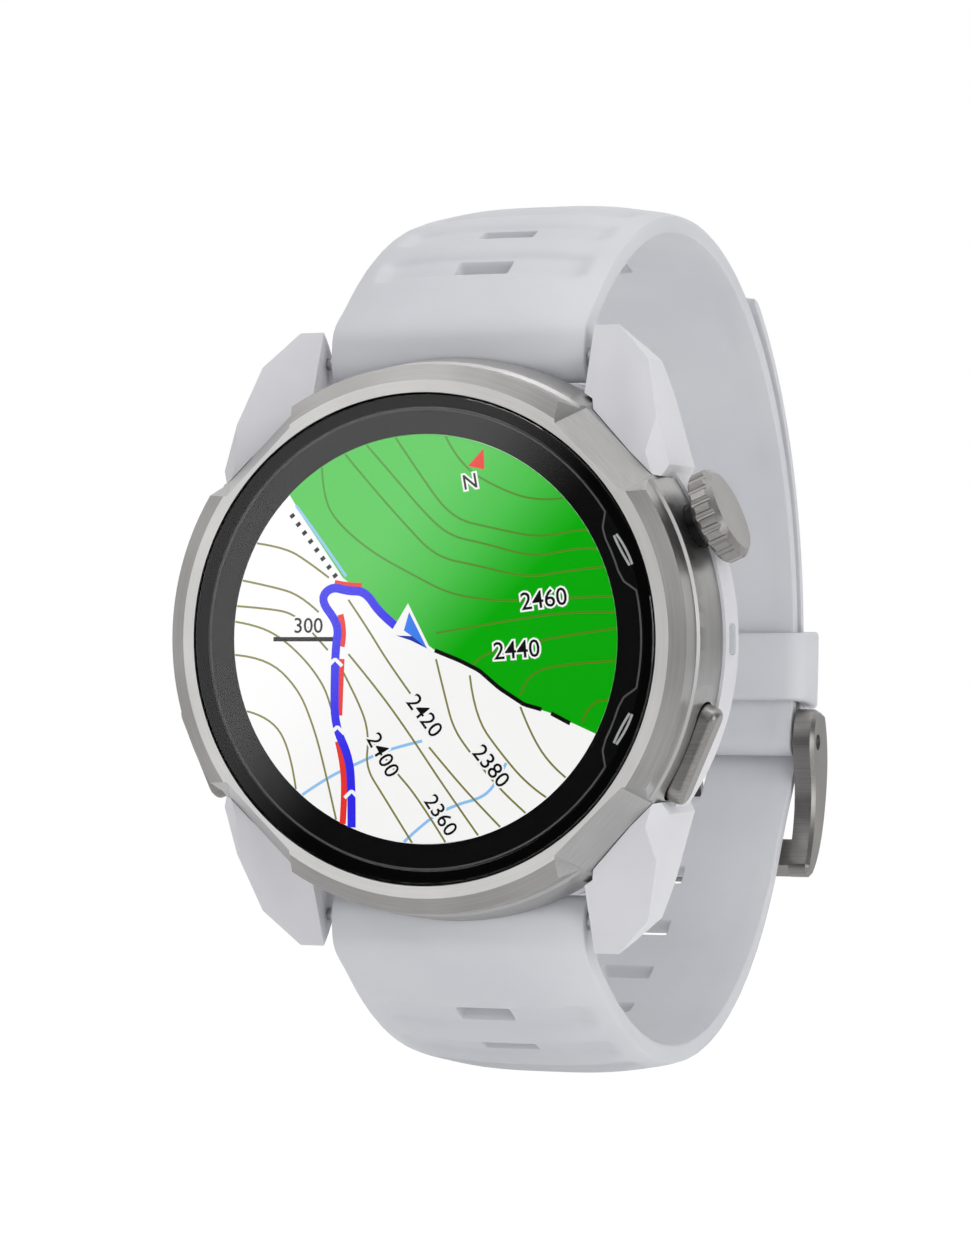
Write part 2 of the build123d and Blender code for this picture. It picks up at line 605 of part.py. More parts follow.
# ---- crown: tube in the case, stem, seal, clip, knob and the part that presses its switch ----
tube_in = CASE_IN - TUBE_INSIDE
tube_out = CASE_R + FIT
knob_in = CASE_R + CROWN_GAP
knob_out = knob_in + CROWN_LENGTH
seal_at = (RIM_OUT + CASE_R) / 2
with BuildPart() as crown_tube:
    rod(CROWN_ANGLE, CROWN_HEIGHT, TUBE_R, tube_in, tube_out)
    rod(CROWN_ANGLE, CROWN_HEIGHT, STEM_R + RUN, tube_in, tube_out, Mode.SUBTRACT)

with BuildPart() as crown_stem:
    rod(CROWN_ANGLE, CROWN_HEIGHT, STEM_R, STEM_END + 0.6, knob_in + 1.0)
    for start, width in ((seal_at, SEAL_WIDTH), (tube_in - CLIP_T - 0.1, CLIP_T)):
        with BuildSketch(spoke(CROWN_ANGLE, start, CROWN_HEIGHT)):
            Circle(STEM_R)
            Circle(STEM_R - SEAL_DEPTH, mode=Mode.SUBTRACT)
        extrude(amount=width, mode=Mode.SUBTRACT)

with BuildPart() as crown_seal:
    with BuildSketch(spoke(CROWN_ANGLE, seal_at, CROWN_HEIGHT)):
        Circle(STEM_R + RUN - 0.02)
        Circle(STEM_R - SEAL_DEPTH, mode=Mode.SUBTRACT)
    extrude(amount=SEAL_WIDTH)

with BuildPart() as crown_clip:
    with BuildSketch(spoke(CROWN_ANGLE, tube_in - CLIP_T - 0.1, CROWN_HEIGHT)):
        Circle(TUBE_R)
        Circle(STEM_R - SEAL_DEPTH, mode=Mode.SUBTRACT)
        with Locations((0, TUBE_R / 2)):
            Rectangle(STEM_R, TUBE_R, mode=Mode.SUBTRACT)
    extrude(amount=CLIP_T)

with BuildPart() as crown_pusher:
    rod(CROWN_ANGLE, CROWN_HEIGHT, STEM_R + 0.5, STEM_END, STEM_END + 1.6)
    rod(CROWN_ANGLE, CROWN_HEIGHT, STEM_R + RUN, STEM_END + 0.6, STEM_END + 1.6, Mode.SUBTRACT)

with BuildPart() as crown_knob:
    rod(CROWN_ANGLE, CROWN_HEIGHT, CROWN_DIA / 2, knob_in, knob_out)
    rims = crown_knob.edges().filter_by(GeomType.CIRCLE).sort_by(lambda e: e.center().X)
    chamfer(rims[-1], 0.55)
    chamfer(rims[0], 0.25)
    with BuildSketch(spoke(CROWN_ANGLE, knob_in, CROWN_HEIGHT)):
        with PolarLocations(CROWN_DIA / 2 + FLUTE_R / 3, FLUTES):
            Circle(FLUTE_R)
    extrude(amount=CROWN_LENGTH, mode=Mode.SUBTRACT)
    rod(CROWN_ANGLE, CROWN_HEIGHT, STEM_R, knob_in, knob_in + 1.0, Mode.SUBTRACT)


# ---- the two pressed buttons: guide, cap on its stem, seal and clip ----
def button_cap(angle):
    """A pill-shaped cap with a rounded face on a round stem, in the part that is being built."""
    pill(angle, 0, BUTTON_IN, BUTTON_OUT)
    rod(angle, BUTTON_HEIGHT, BUTTON_STEM_R, STEM_END, BUTTON_IN)
    for start, width in ((BUTTON_SEAL_AT, SEAL_WIDTH), (tube_in - CLIP_T - 0.1, CLIP_T)):
        with BuildSketch(spoke(angle, start, BUTTON_HEIGHT)) as outline:
            Circle(BUTTON_STEM_R)
            Circle(BUTTON_STEM_R - SEAL_DEPTH, mode=Mode.SUBTRACT)
        extrude(outline.sketch, amount=width, mode=Mode.SUBTRACT)


def button_seal(angle):
    """A rubber ring in the groove of a button's stem."""
    with BuildSketch(spoke(angle, BUTTON_SEAL_AT, BUTTON_HEIGHT)) as outline:
        Circle(BUTTON_STEM_R + RUN - 0.02)
        Circle(BUTTON_STEM_R - SEAL_DEPTH, mode=Mode.SUBTRACT)
    extrude(outline.sketch, amount=SEAL_WIDTH)


def button_clip(angle):
    """An open clip that stops a button from falling out."""
    with BuildSketch(spoke(angle, tube_in - CLIP_T - 0.1, BUTTON_HEIGHT)) as outline:
        Circle(GUIDE_R + 0.1)
        Circle(BUTTON_STEM_R - SEAL_DEPTH, mode=Mode.SUBTRACT)
        with Locations((0, -GUIDE_R / 2)):
            Rectangle(BUTTON_STEM_R, GUIDE_R + 0.4, mode=Mode.SUBTRACT)
    extrude(outline.sketch, amount=CLIP_T)


with BuildPart() as button_guides:
    for angle in (BACK_BUTTON_ANGLE, ACTION_BUTTON_ANGLE):
        with BuildSketch(spoke(angle, tube_in, BUTTON_HEIGHT)):
            Circle(GUIDE_R)
            Circle(BUTTON_STEM_R + RUN, mode=Mode.SUBTRACT)
        extrude(amount=RIM_OUT - tube_in)

with BuildPart() as back_button:
    button_cap(BACK_BUTTON_ANGLE)
    fillet(back_button.faces().sort_by(Axis.X)[-1].edges(), BUTTON_EDGE)

with BuildPart() as action_button:
    button_cap(ACTION_BUTTON_ANGLE)
    fillet(action_button.faces().sort_by(Axis.X)[0].edges(), BUTTON_EDGE)

with BuildPart() as back_button_seal:
    button_seal(BACK_BUTTON_ANGLE)

with BuildPart() as action_button_seal:
    button_seal(ACTION_BUTTON_ANGLE)

with BuildPart() as back_button_clip:
    button_clip(BACK_BUTTON_ANGLE)

with BuildPart() as action_button_clip:
    button_clip(ACTION_BUTTON_ANGLE)

with BuildPart() as side_switches:
    for angle, height, travel in ((CROWN_ANGLE, CROWN_HEIGHT, CROWN_TRAVEL),
                                  (BACK_BUTTON_ANGLE, BUTTON_HEIGHT, BUTTON_TRAVEL),
                                  (ACTION_BUTTON_ANGLE, BUTTON_HEIGHT, BUTTON_TRAVEL)):
        face = STEM_END - travel - SWITCH_PLUNGER - FIT
        body_middle = BOARD_HEIGHT - SWITCH_TALL / 2
        with BuildSketch(spoke(angle, face - SWITCH_DEPTH, body_middle)):
            Rectangle(SWITCH_WIDTH, SWITCH_TALL)
        extrude(amount=SWITCH_DEPTH)
        rod(angle, min(height, body_middle + 0.6), 0.5, face, face + SWITCH_PLUNGER)

# ---- spring bars: a tube with a fixed tip, and a sliding tip with its quick-release lever ----
with BuildPart() as spring_bar_tubes:
    for side in (1, -1):
        up = side * BAR_OFFSET
        cross_rod(-BAR_HEIGHT, up, BAR_R, -BAR_HALF, BAR_HALF)
        cross_rod(-BAR_HEIGHT, up, TIP_R, -LUG_IN - TIP_REACH + 0.1, -BAR_HALF)
        cross_rod(-BAR_HEIGHT, up, TIP_R + RUN, BAR_HALF - ROD_ROOM, BAR_HALF, Mode.SUBTRACT)
        with BuildSketch(level(BAR_HEIGHT)):
            with Locations((LEVER_X - LEVER_TRAVEL / 2, up)):
                Rectangle(LEVER_TRAVEL + 2 * PEG_R + 0.3, 2 * PEG_R + 0.2)
        extrude(amount=-BAR_R - 0.1, mode=Mode.SUBTRACT)


def bar_lever(side):
    """The sliding tip of a spring bar, with the peg that a finger pulls."""
    up = side * BAR_OFFSET
    cross_rod(-BAR_HEIGHT, up, TIP_R, LEVER_X - PEG_R - 0.3, LUG_IN + TIP_REACH - 0.1)
    with BuildSketch(level(BAR_HEIGHT)) as outline:
        with Locations((LEVER_X, up)):
            Circle(PEG_R)
    extrude(outline.sketch, amount=-BARREL_R - 0.3)


with BuildPart() as upper_bar_lever:
    bar_lever(1)

with BuildPart() as lower_bar_lever:
    bar_lever(-1)

spring_low = BAR_HALF - ROD_ROOM + SPRING_WIRE_R
spring_high = LEVER_X - PEG_R - 0.3 - SPRING_WIRE_R
with BuildPart() as bar_springs:
    for side in (1, -1):
        centre = (spring_low, -BAR_HEIGHT, side * BAR_OFFSET)
        with BuildLine() as coil:
            Helix(pitch=(spring_high - spring_low) / SPRING_TURNS, height=spring_high - spring_low,
                  radius=TIP_R - SPRING_WIRE_R - 0.03, center=centre, direction=(1, 0, 0))
        with BuildSketch(Plane(origin=coil.line @ 0, z_dir=coil.line % 0)):
            Circle(SPRING_WIRE_R)
        sweep(path=coil.line)


# ---- strap halves: side view of the solid, then its slots and its holes for the bars ----
def strap_side(side, in_end, out_end):
    """Both faces of a strap half from its spring bar to the given loop angles."""
    low = (-BAR_HEIGHT - BARREL_R, side * BAR_OFFSET)
    high = (-BAR_HEIGHT + BARREL_R, side * BAR_OFFSET)
    out_start = side * math.degrees(math.acos((low[0] - LOOP_BACK) / LOOP_OUT))
    in_start = side * math.degrees(math.acos((high[0] - LOOP_BACK) / LOOP_IN))
    ThreePointArc(low, (-BAR_HEIGHT, side * (BAR_OFFSET - BARREL_R)), high)
    Line(high, on_loop(LOOP_IN, in_start))
    Line(low, on_loop(LOOP_OUT, out_start))
    ThreePointArc(on_loop(LOOP_IN, in_start), on_loop(LOOP_IN, (in_start + in_end) / 2),
                  on_loop(LOOP_IN, in_end))
    ThreePointArc(on_loop(LOOP_OUT, out_start), on_loop(LOOP_OUT, (out_start + out_end) / 2),
                  on_loop(LOOP_OUT, out_end))


def round_edges(strap, radii):
    """Rounds the two long outer edges of a strap half, found by the radius of its outer face."""
    long_edges = strap.edges().filter_by(GeomType.CIRCLE)
    fillet(long_edges.filter_by(lambda e: min(abs(e.radius - r) for r in radii) < FIT), STRAP_EDGE)


def along_loop(angle):
    """Unit vector along the loop, towards larger angles."""
    return (-math.sin(math.radians(angle)), math.cos(math.radians(angle)))


def climb_line(low, high):
    """A face of the lower strap where it climbs over the end of the upper one."""
    angles = [RISE_START_ANGLE + (RISE_END_ANGLE - RISE_START_ANGLE) * n / 4 for n in range(5)]
    Spline([on_loop(climb(low, high, angle), angle) for angle in angles],
           tangents=[along_loop(RISE_START_ANGLE), along_loop(RISE_END_ANGLE)])


def cut_slots(angles, radius, thickness, length):
    """Cuts rectangular slots through the strap at the given loop angles."""
    for angle in angles:
        with BuildSketch(loop_plane(angle).offset(-length / 2)) as outline:
            with Locations((0, radius + thickness / 2)):
                Rectangle(SLOT_WIDTH, thickness + 2)
        extrude(outline.sketch, amount=length, mode=Mode.SUBTRACT)


def cut_strap_end(side):
    """The bore for the spring bar and the opening for its lever."""
    up = side * BAR_OFFSET
    cross_rod(-BAR_HEIGHT, up, BAR_R + RUN, -STRAP_WIDTH, STRAP_WIDTH, Mode.SUBTRACT)
    with BuildSketch(level(BAR_HEIGHT)) as outline:
        with Locations((LEVER_X - LEVER_TRAVEL / 2, up)):
            Rectangle(LEVER_TRAVEL + 2 * PEG_R + 0.5, 2 * PEG_R + 0.4)
    extrude(outline.sketch, amount=-BARREL_R - 1, mode=Mode.SUBTRACT)


slot_angles = [SLOT_FIRST_ANGLE - SLOT_PITCH_ANGLE * n for n in range(UPPER_SLOTS)]
with BuildPart() as upper_strap:
    with BuildSketch(Plane.YZ):
        with BuildLine():
            strap_side(1, STRAP_END_ANGLE, STRAP_END_ANGLE)
            ThreePointArc(on_loop(LOOP_IN, STRAP_END_ANGLE),
                          on_loop(LOOP_MID, STRAP_END_ANGLE - math.degrees(STRAP_T / 2 / LOOP_MID)),
                          on_loop(LOOP_OUT, STRAP_END_ANGLE))
        make_face()
    extrude(amount=STRAP_WIDTH / 2, both=True)
    round_edges(upper_strap, [LOOP_OUT])
    cut_slots(slot_angles, LOOP_IN, STRAP_T, SLOT_LENGTH)
    cut_strap_end(1)
    bar_depth, bar_up = on_loop(LOOP_MID, STRAP_END_ANGLE)
    cross_rod(bar_depth, bar_up, BUCKLE_BAR_R + RUN, -STRAP_WIDTH, STRAP_WIDTH, Mode.SUBTRACT)
    with BuildSketch(loop_plane(STRAP_END_ANGLE - 5)):
        with Locations((0, LOOP_MID)):
            Rectangle(TONGUE_WIDTH + 2 * LOOSE, STRAP_T + 2)
    extrude(amount=LOOP_MID * math.radians(5) + TONGUE_EYE_R + LOOSE, mode=Mode.SUBTRACT)

with BuildPart() as lower_strap:
    with BuildSketch(Plane.YZ):
        with BuildLine():
            strap_side(-1, RISE_START_ANGLE, RISE_START_ANGLE)
            climb_line(LOOP_IN, TAIL_IN)
            climb_line(LOOP_OUT, TAIL_OUT)
            middle = (RISE_END_ANGLE + TAIL_END_ANGLE) / 2
            ThreePointArc(on_loop(TAIL_IN, RISE_END_ANGLE), on_loop(TAIL_IN, middle),
                          on_loop(TAIL_IN, TAIL_END_ANGLE))
            ThreePointArc(on_loop(TAIL_OUT, RISE_END_ANGLE), on_loop(TAIL_OUT, middle),
                          on_loop(TAIL_OUT, TAIL_END_ANGLE))
            Line(on_loop(TAIL_IN, TAIL_END_ANGLE), on_loop(TAIL_OUT, TAIL_END_ANGLE))
        make_face()
    extrude(amount=STRAP_WIDTH / 2, both=True)
    round_edges(lower_strap, [LOOP_OUT, TAIL_OUT])
    cut_slots([-SLOT_FIRST_ANGLE + SLOT_PITCH_ANGLE * n for n in range(LOWER_SLOTS)],
              LOOP_IN, STRAP_T, SLOT_LENGTH)
    cut_slots([TAIL_END_ANGLE - SLOT_PITCH_ANGLE * (n + 1) for n in range(TAIL_SLOTS)],
              TAIL_IN, TAIL_T, SLOT_LENGTH)
    slot_low, slot_high = TONGUE_SLOT_ANGLES
    cut_slots([(slot_low + slot_high) / 2], LOOP_IN, TAIL_OUT - LOOP_IN,
              LOOP_MID * math.radians(slot_high - slot_low))
    cut_strap_end(-1)

# ---- keeper round both strap layers ----
with BuildPart() as keeper:
    with BuildSketch(loop_plane(KEEPER_TOP_ANGLE - KEEPER_ANGLE)):
        with Locations((0, (LOOP_IN + TAIL_OUT) / 2)):
            RectangleRounded(STRAP_WIDTH + 2 * (LOOSE + KEEPER_WALL),
                             TAIL_OUT - LOOP_IN + 2 * (LOOSE + KEEPER_WALL), 1.4)
            RectangleRounded(STRAP_WIDTH + 2 * LOOSE, TAIL_OUT - LOOP_IN + 2 * LOOSE, 0.3,
                             mode=Mode.SUBTRACT)
    revolve(axis=loop_axis, revolution_arc=KEEPER_ANGLE)

# ---- buckle: frame, its bar and the tongue ----
def plate_line(*steps):
    """Points of a side plate's outline: how high, as a part of the buckle's rise, and where."""
    return [on_loop(LOOP_OUT + part * BUCKLE_RISE, angle) for part, angle in steps]


plate_outer = plate_line((0.2, -10.6), (0.69, -15.0), (1.0, -23.0), (0.89, -31.0), (0.6, -34.4))
plate_inner = plate_line((0.09, -34.4), (0.06, -29.0), (-0.37, -21.5), (-0.83, -17.0),
                         (-0.86, -13.0), (-0.57, -10.6))
with BuildPart() as buckle_frame:
    with BuildSketch(Plane.YZ.offset(PLATE_IN)):
        with BuildLine():
            Spline(plate_outer)
            Line(plate_outer[-1], plate_inner[0])
            Spline(plate_inner)
            Line(plate_inner[-1], plate_outer[0])
        make_face()
    extrude(amount=PLATE_T)
    fillet(buckle_frame.edges().filter_by(Axis.X), 0.8)
    chamfer(buckle_frame.faces().sort_by(Axis.X)[-1].edges(), 0.35)
    mirror(about=Plane.YZ)
    with BuildSketch(Plane.YZ.offset(-PLATE_IN)):
        with BuildLine():
            Polyline(on_loop(REST_BAR_IN, -33.8), on_loop(REST_BAR_OUT - 0.3, -33.8),
                     on_loop(REST_BAR_OUT, -33.0), on_loop(REST_BAR_OUT, -30.4),
                     on_loop(REST_BAR_OUT - 0.3, -29.6), on_loop(REST_BAR_IN, -29.6), close=True)
        make_face()
    extrude(amount=2 * PLATE_IN)
    cross_rod(bar_depth, bar_up, BUCKLE_BAR_R, -PLATE_OUT, PLATE_OUT, Mode.SUBTRACT)

with BuildPart() as buckle_bar:
    cross_rod(bar_depth, bar_up, BUCKLE_BAR_R, -PLATE_OUT + 0.3, PLATE_OUT - 0.3)

with BuildPart() as buckle_tongue:
    tongue_out = REST_BAR_OUT + FIT + TONGUE_T / 2
    tongue_line = [(LOOP_MID + TONGUE_T / 2, -17.5), (REST_BAR_OUT - TONGUE_T, -22.6),
                   (tongue_out, -29.5), (tongue_out, -33.6)]
    cross_rod(bar_depth, bar_up, TONGUE_EYE_R, -TONGUE_WIDTH / 2, TONGUE_WIDTH / 2)
    with BuildSketch(Plane.YZ.offset(-TONGUE_WIDTH / 2)):
        with BuildLine():
            FilletPolyline(on_loop(LOOP_MID, STRAP_END_ANGLE),
                           *[on_loop(r, a) for r, a in tongue_line], radius=TONGUE_BEND)
            offset(amount=TONGUE_T / 2)
        make_face()
    extrude(amount=TONGUE_WIDTH)
    cross_rod(bar_depth, bar_up, BUCKLE_BAR_R + RUN, -TONGUE_WIDTH, TONGUE_WIDTH, Mode.SUBTRACT)

pieces = {
    "bezel": bezel, "lens": lens, "lens_gasket": lens_gasket, "border_ring": border_ring,
    "display_panel": display_panel, "backlight": backlight, "display_holder": display_holder,
    "mid_case": mid_case, "case_back": case_back, "case_back_gasket": case_back_gasket,
    "case_back_screws": case_back_screws, "board_screws": board_screws,
    "sensor_window": sensor_window, "sensor_board": sensor_board, "sensor_leds": sensor_leds,
    "charge_contacts": charge_contacts, "main_board": main_board, "board_chips": board_chips,
    "battery": battery, "battery_pad": battery_pad, "vibration_motor": vibration_motor,
    "motor_shaft": motor_shaft, "motor_weight": motor_weight, "speaker": speaker,
    "antenna_ring": antenna_ring, "crown_tube": crown_tube, "crown_stem": crown_stem,
    "crown_seal": crown_seal, "crown_clip": crown_clip, "crown_pusher": crown_pusher,
    "crown_knob": crown_knob, "button_guides": button_guides, "back_button": back_button,
    "back_button_seal": back_button_seal, "back_button_clip": back_button_clip,
    "action_button": action_button, "action_button_seal": action_button_seal,
    "action_button_clip": action_button_clip, "side_switches": side_switches,
    "spring_bar_tubes": spring_bar_tubes, "upper_bar_lever": upper_bar_lever,
    "lower_bar_lever": lower_bar_lever, "bar_springs": bar_springs, "upper_strap": upper_strap,
    "lower_strap": lower_strap, "keeper": keeper, "buckle_frame": buckle_frame,
    "buckle_bar": buckle_bar, "buckle_tongue": buckle_tongue,
}
for name, piece in pieces.items():
    piece.part.label = name
    export_step(piece.part, f"parts/{name}.step")
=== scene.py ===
"""A GPS sports watch on its closed silicone strap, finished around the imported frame.

The dial faces -Y, 12 o'clock is +Z and 3 o'clock is +X. Sizes are in millimetres until a mesh
is finished, and in metres from there on.
"""

import json
import math

import bmesh
import bpy
from mathutils import Matrix, Vector


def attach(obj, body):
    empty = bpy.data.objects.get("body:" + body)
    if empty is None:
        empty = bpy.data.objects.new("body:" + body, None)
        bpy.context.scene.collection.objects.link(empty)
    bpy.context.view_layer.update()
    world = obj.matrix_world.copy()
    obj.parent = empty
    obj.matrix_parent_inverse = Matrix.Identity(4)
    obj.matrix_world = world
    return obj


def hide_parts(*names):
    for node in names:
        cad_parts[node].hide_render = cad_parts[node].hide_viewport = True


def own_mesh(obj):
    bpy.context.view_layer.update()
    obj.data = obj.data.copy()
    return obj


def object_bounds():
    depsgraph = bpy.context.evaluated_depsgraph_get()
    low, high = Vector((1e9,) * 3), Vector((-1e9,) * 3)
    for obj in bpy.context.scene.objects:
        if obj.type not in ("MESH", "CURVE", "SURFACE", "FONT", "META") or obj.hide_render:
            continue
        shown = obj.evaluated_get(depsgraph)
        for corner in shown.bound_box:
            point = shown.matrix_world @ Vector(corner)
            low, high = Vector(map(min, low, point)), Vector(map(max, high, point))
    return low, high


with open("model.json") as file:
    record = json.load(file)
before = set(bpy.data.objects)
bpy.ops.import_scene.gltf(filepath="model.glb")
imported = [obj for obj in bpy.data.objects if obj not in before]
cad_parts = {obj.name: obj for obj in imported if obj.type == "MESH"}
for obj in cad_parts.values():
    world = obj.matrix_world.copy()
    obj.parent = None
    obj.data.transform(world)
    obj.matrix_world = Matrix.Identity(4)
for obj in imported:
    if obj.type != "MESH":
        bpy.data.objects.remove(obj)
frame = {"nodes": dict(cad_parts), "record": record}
cad_low, cad_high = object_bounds()

MM = 0.001
TO_METRES = Matrix.Scale(MM, 4)

# ---- sizes and angles that the frame already has ----
LENS_BACK = 13.0
PANEL_FACE = 12.9
DISPLAY_R = 16.5
FLANGE_LOW = 13.4
BEVEL_LOW = 12.7
STEP_LOW, STEP_HIGH = 10.3, 10.8
LOOP_BACK = 22.1
LOOP_IN = 35.5
STRAP_T = 2.7
LOOP_MIDDLE = LOOP_IN + STRAP_T / 2
LOOP_OUT = LOOP_IN + STRAP_T
TAIL_T = 1.75
TAIL_IN = LOOP_OUT + 0.1
BAR_HEIGHT = 4.0
BAR_OFFSET = 23.0
BARREL_R = 2.1
STRAP_HALF = 11.1
SLOT_HALF_LONG = 2.4
SLOT_HALF_WIDE = 1.0
UPPER_SLOT_FIRST = 123.8
LOWER_SLOT_FIRST = -122.8
SLOT_PITCH = 10.5
RISE_START = -32.0
RISE_END = -15.0
TAIL_END = 55.0
STRAP_END = -15.5
LOOP_START = 131.5
TONGUE_SLOT = (-24.2, -16.4)


def srgb(code):
    """A hex colour as linear RGBA."""
    parts = [int(code[n:n + 2], 16) / 255 for n in (1, 3, 5)]
    return [c / 12.92 if c <= 0.04045 else ((c + 0.055) / 1.055) ** 2.4 for c in parts] + [1.0]


# Sockets of a colour Mix node, which has several of each name.
MIX_SHARE, MIX_FIRST, MIX_SECOND, MIX_RESULT = 0, 6, 7, 2


def add_node(owner, kind, links=(), **settings):
    """Adds a node with its settings, and gives named inputs a value or the socket that feeds them."""
    made = owner.node_tree.nodes.new(kind)
    for name, value in settings.items():
        setattr(made, name, value)
    for name, value in links:
        if isinstance(value, bpy.types.NodeSocket):
            owner.node_tree.links.new(value, made.inputs[name])
        else:
            made.inputs[name].default_value = value
    return made


def new_material(name):
    """An empty material and its output node."""
    material = bpy.data.materials.new(name)
    material.use_nodes = True
    material.node_tree.nodes.clear()
    return material, add_node(material, "ShaderNodeOutputMaterial")


# ---- materials ----
# Mottling in mm: what the mould and handling leave on any large face.
CLOUD = 11.11
# Handling marks on metal, in mm.
WEAR = 6.25
# Noise seldom leaves this range, so a finish goes from its dark colour to its light one over it.
NOISE_LOW, NOISE_HIGH = 0.3, 0.7


def moulded(name, light, dark, grain, roughness, depth, specular=0.5, sheen=0.0):
    """A moulded plastic or rubber: faint mottling in its colour, and a fine grain.

    The grain's size and depth are in mm. A mould's own grain is two or three times finer, and is
    drawn coarser so that it shows.
    """
    material, output = new_material(name)
    place = add_node(material, "ShaderNodeTexCoord").outputs["Object"]
    cloud = add_node(material, "ShaderNodeTexNoise",
                     [("Vector", place), ("Scale", 1 / (CLOUD * MM)), ("Detail", 3.0)])
    fine = add_node(material, "ShaderNodeTexNoise",
                    [("Vector", place), ("Scale", 1 / (grain * MM)), ("Detail", 2.0)])
    bump = add_node(material, "ShaderNodeBump",
                    [("Height", fine.outputs["Fac"]), ("Strength", 0.35), ("Distance", depth * MM)])
    shade = add_node(material, "ShaderNodeMapRange",
                     [("Value", cloud.outputs["Fac"]), ("From Min", NOISE_LOW),
                      ("From Max", NOISE_HIGH)])
    tint = add_node(material, "ShaderNodeMix",
                    [(MIX_SHARE, shade.outputs["Result"]), (MIX_FIRST, srgb(dark)),
                     (MIX_SECOND, srgb(light))],
                    data_type="RGBA")
    gloss = add_node(material, "ShaderNodeMapRange",
                     [("Value", cloud.outputs["Fac"]), ("To Min", roughness - 0.04),
                      ("To Max", roughness + 0.05)])
    shader = add_node(material, "ShaderNodeBsdfPrincipled",
                      [("Base Color", tint.outputs[MIX_RESULT]),
                       ("Roughness", gloss.outputs["Result"]), ("Normal", bump.outputs["Normal"]),
                       ("Specular IOR Level", specular), ("Sheen Weight", sheen)])
    material.node_tree.links.new(shader.outputs["BSDF"], output.inputs["Surface"])
    return material


# Real brushing leaves lines about 0.05 mm wide. They are drawn coarser, so that they show.
LINE_WIDTH = 0.14
LINE_LENGTH = 6.0
LINE_DEPTH = 0.01
# The radius at which a line round the dial has its true length: the bezel's.
BEZEL_R = 22.0


def brushed(name, light, dark, roughness, round_dial=False):
    """A brushed metal: fine lines along x or round the dial, and a gloss that follows them."""
    material, output = new_material(name)
    place = add_node(material, "ShaderNodeTexCoord").outputs["Object"]
    along = place
    if round_dial:
        split = add_node(material, "ShaderNodeSeparateXYZ", [("Vector", place)])
        flat = add_node(material, "ShaderNodeCombineXYZ",
                        [("X", split.outputs["X"]), ("Y", split.outputs["Z"])])
        radius = add_node(material, "ShaderNodeVectorMath", [(0, flat.outputs["Vector"])],
                          operation="LENGTH").outputs["Value"]
        turn = add_node(material, "ShaderNodeMath",
                        [(0, split.outputs["Z"]), (1, split.outputs["X"])],
                        operation="ARCTAN2").outputs["Value"]
        arc = add_node(material, "ShaderNodeMath", [(0, turn), (1, BEZEL_R * MM)],
                       operation="MULTIPLY")
        along = add_node(material, "ShaderNodeCombineXYZ",
                         [("X", arc.outputs["Value"]), ("Y", radius),
                          ("Z", split.outputs["Y"])]).outputs["Vector"]
    line_scale = (1 / (LINE_LENGTH * MM), 1 / (LINE_WIDTH * MM), 1 / (LINE_WIDTH * MM))
    stretched = add_node(material, "ShaderNodeMapping", [("Vector", along), ("Scale", line_scale)])
    grain = add_node(material, "ShaderNodeTexNoise",
                     [("Vector", stretched.outputs["Vector"]), ("Scale", 1.0), ("Detail", 3.0)])
    wear = add_node(material, "ShaderNodeTexNoise",
                    [("Vector", place), ("Scale", 1 / (WEAR * MM)), ("Detail", 2.0)])
    both = add_node(material, "ShaderNodeMath",
                    [(0, grain.outputs["Fac"]), (1, wear.outputs["Fac"])], operation="ADD")
    shade = add_node(material, "ShaderNodeMapRange",
                     [("Value", both.outputs["Value"]), ("From Min", 2 * NOISE_LOW),
                      ("From Max", 2 * NOISE_HIGH)])
    tint = add_node(material, "ShaderNodeMix",
                    [(MIX_SHARE, shade.outputs["Result"]), (MIX_FIRST, srgb(dark)),
                     (MIX_SECOND, srgb(light))],
                    data_type="RGBA")
    gloss = add_node(material, "ShaderNodeMapRange",
                     [("Value", grain.outputs["Fac"]), ("To Min", roughness - 0.06),
                      ("To Max", roughness + 0.08)])
    bump = add_node(material, "ShaderNodeBump",
                    [("Height", grain.outputs["Fac"]), ("Strength", 0.25),
                     ("Distance", LINE_DEPTH * MM)])
    shader = add_node(material, "ShaderNodeBsdfPrincipled",
                      [("Base Color", tint.outputs[MIX_RESULT]),
                       ("Roughness", gloss.outputs["Result"]), ("Normal", bump.outputs["Normal"]),
                       ("Metallic", 1.0)])
    material.node_tree.links.new(shader.outputs["BSDF"], output.inputs["Surface"])
    return material


# The screen's colours are painted lighter at the upper left and darker to the lower right, as painted
# light and shade, over this many mm of x less z.
SCREEN_PAINTED_SHADE_SPAN = 41.67


def screen_ink(name, *stops):
    """A colour of the lit screen, by hex colours at places from 0, upper left, to 1, at the right:
    the change across it is painted light and shade.
    """
    material, output = new_material(name)
    place = add_node(material, "ShaderNodeTexCoord").outputs["Object"]
    per_metre = 1 / (SCREEN_PAINTED_SHADE_SPAN * MM)
    across = add_node(material, "ShaderNodeVectorMath",
                      [(0, place), (1, (per_metre, 0.0, -per_metre))],
                      operation="DOT_PRODUCT").outputs["Value"]
    middle = add_node(material, "ShaderNodeMath", [(0, across), (1, 0.5)], operation="ADD")
    ramp = add_node(material, "ShaderNodeValToRGB", [("Fac", middle.outputs["Value"])])
    elements = ramp.color_ramp.elements
    elements[0].position, elements[1].position = stops[0][0], stops[-1][0]
    for at, _ in stops[1:-1]:
        elements.new(at)
    for element, (_, colour) in zip(elements, stops):
        element.color = srgb(colour)
    shader = add_node(material, "ShaderNodeBsdfPrincipled",
                      [("Base Color", srgb("#050505")), ("Roughness", 0.5),
                       ("Specular IOR Level", 0.0), ("Emission Color", ramp.outputs["Color"]),
                       ("Emission Strength", 1.0)])
    material.node_tree.links.new(shader.outputs["BSDF"], output.inputs["Surface"])
    return material


# Clouds of finger grease on glass, in mm.
GREASE = 8.333


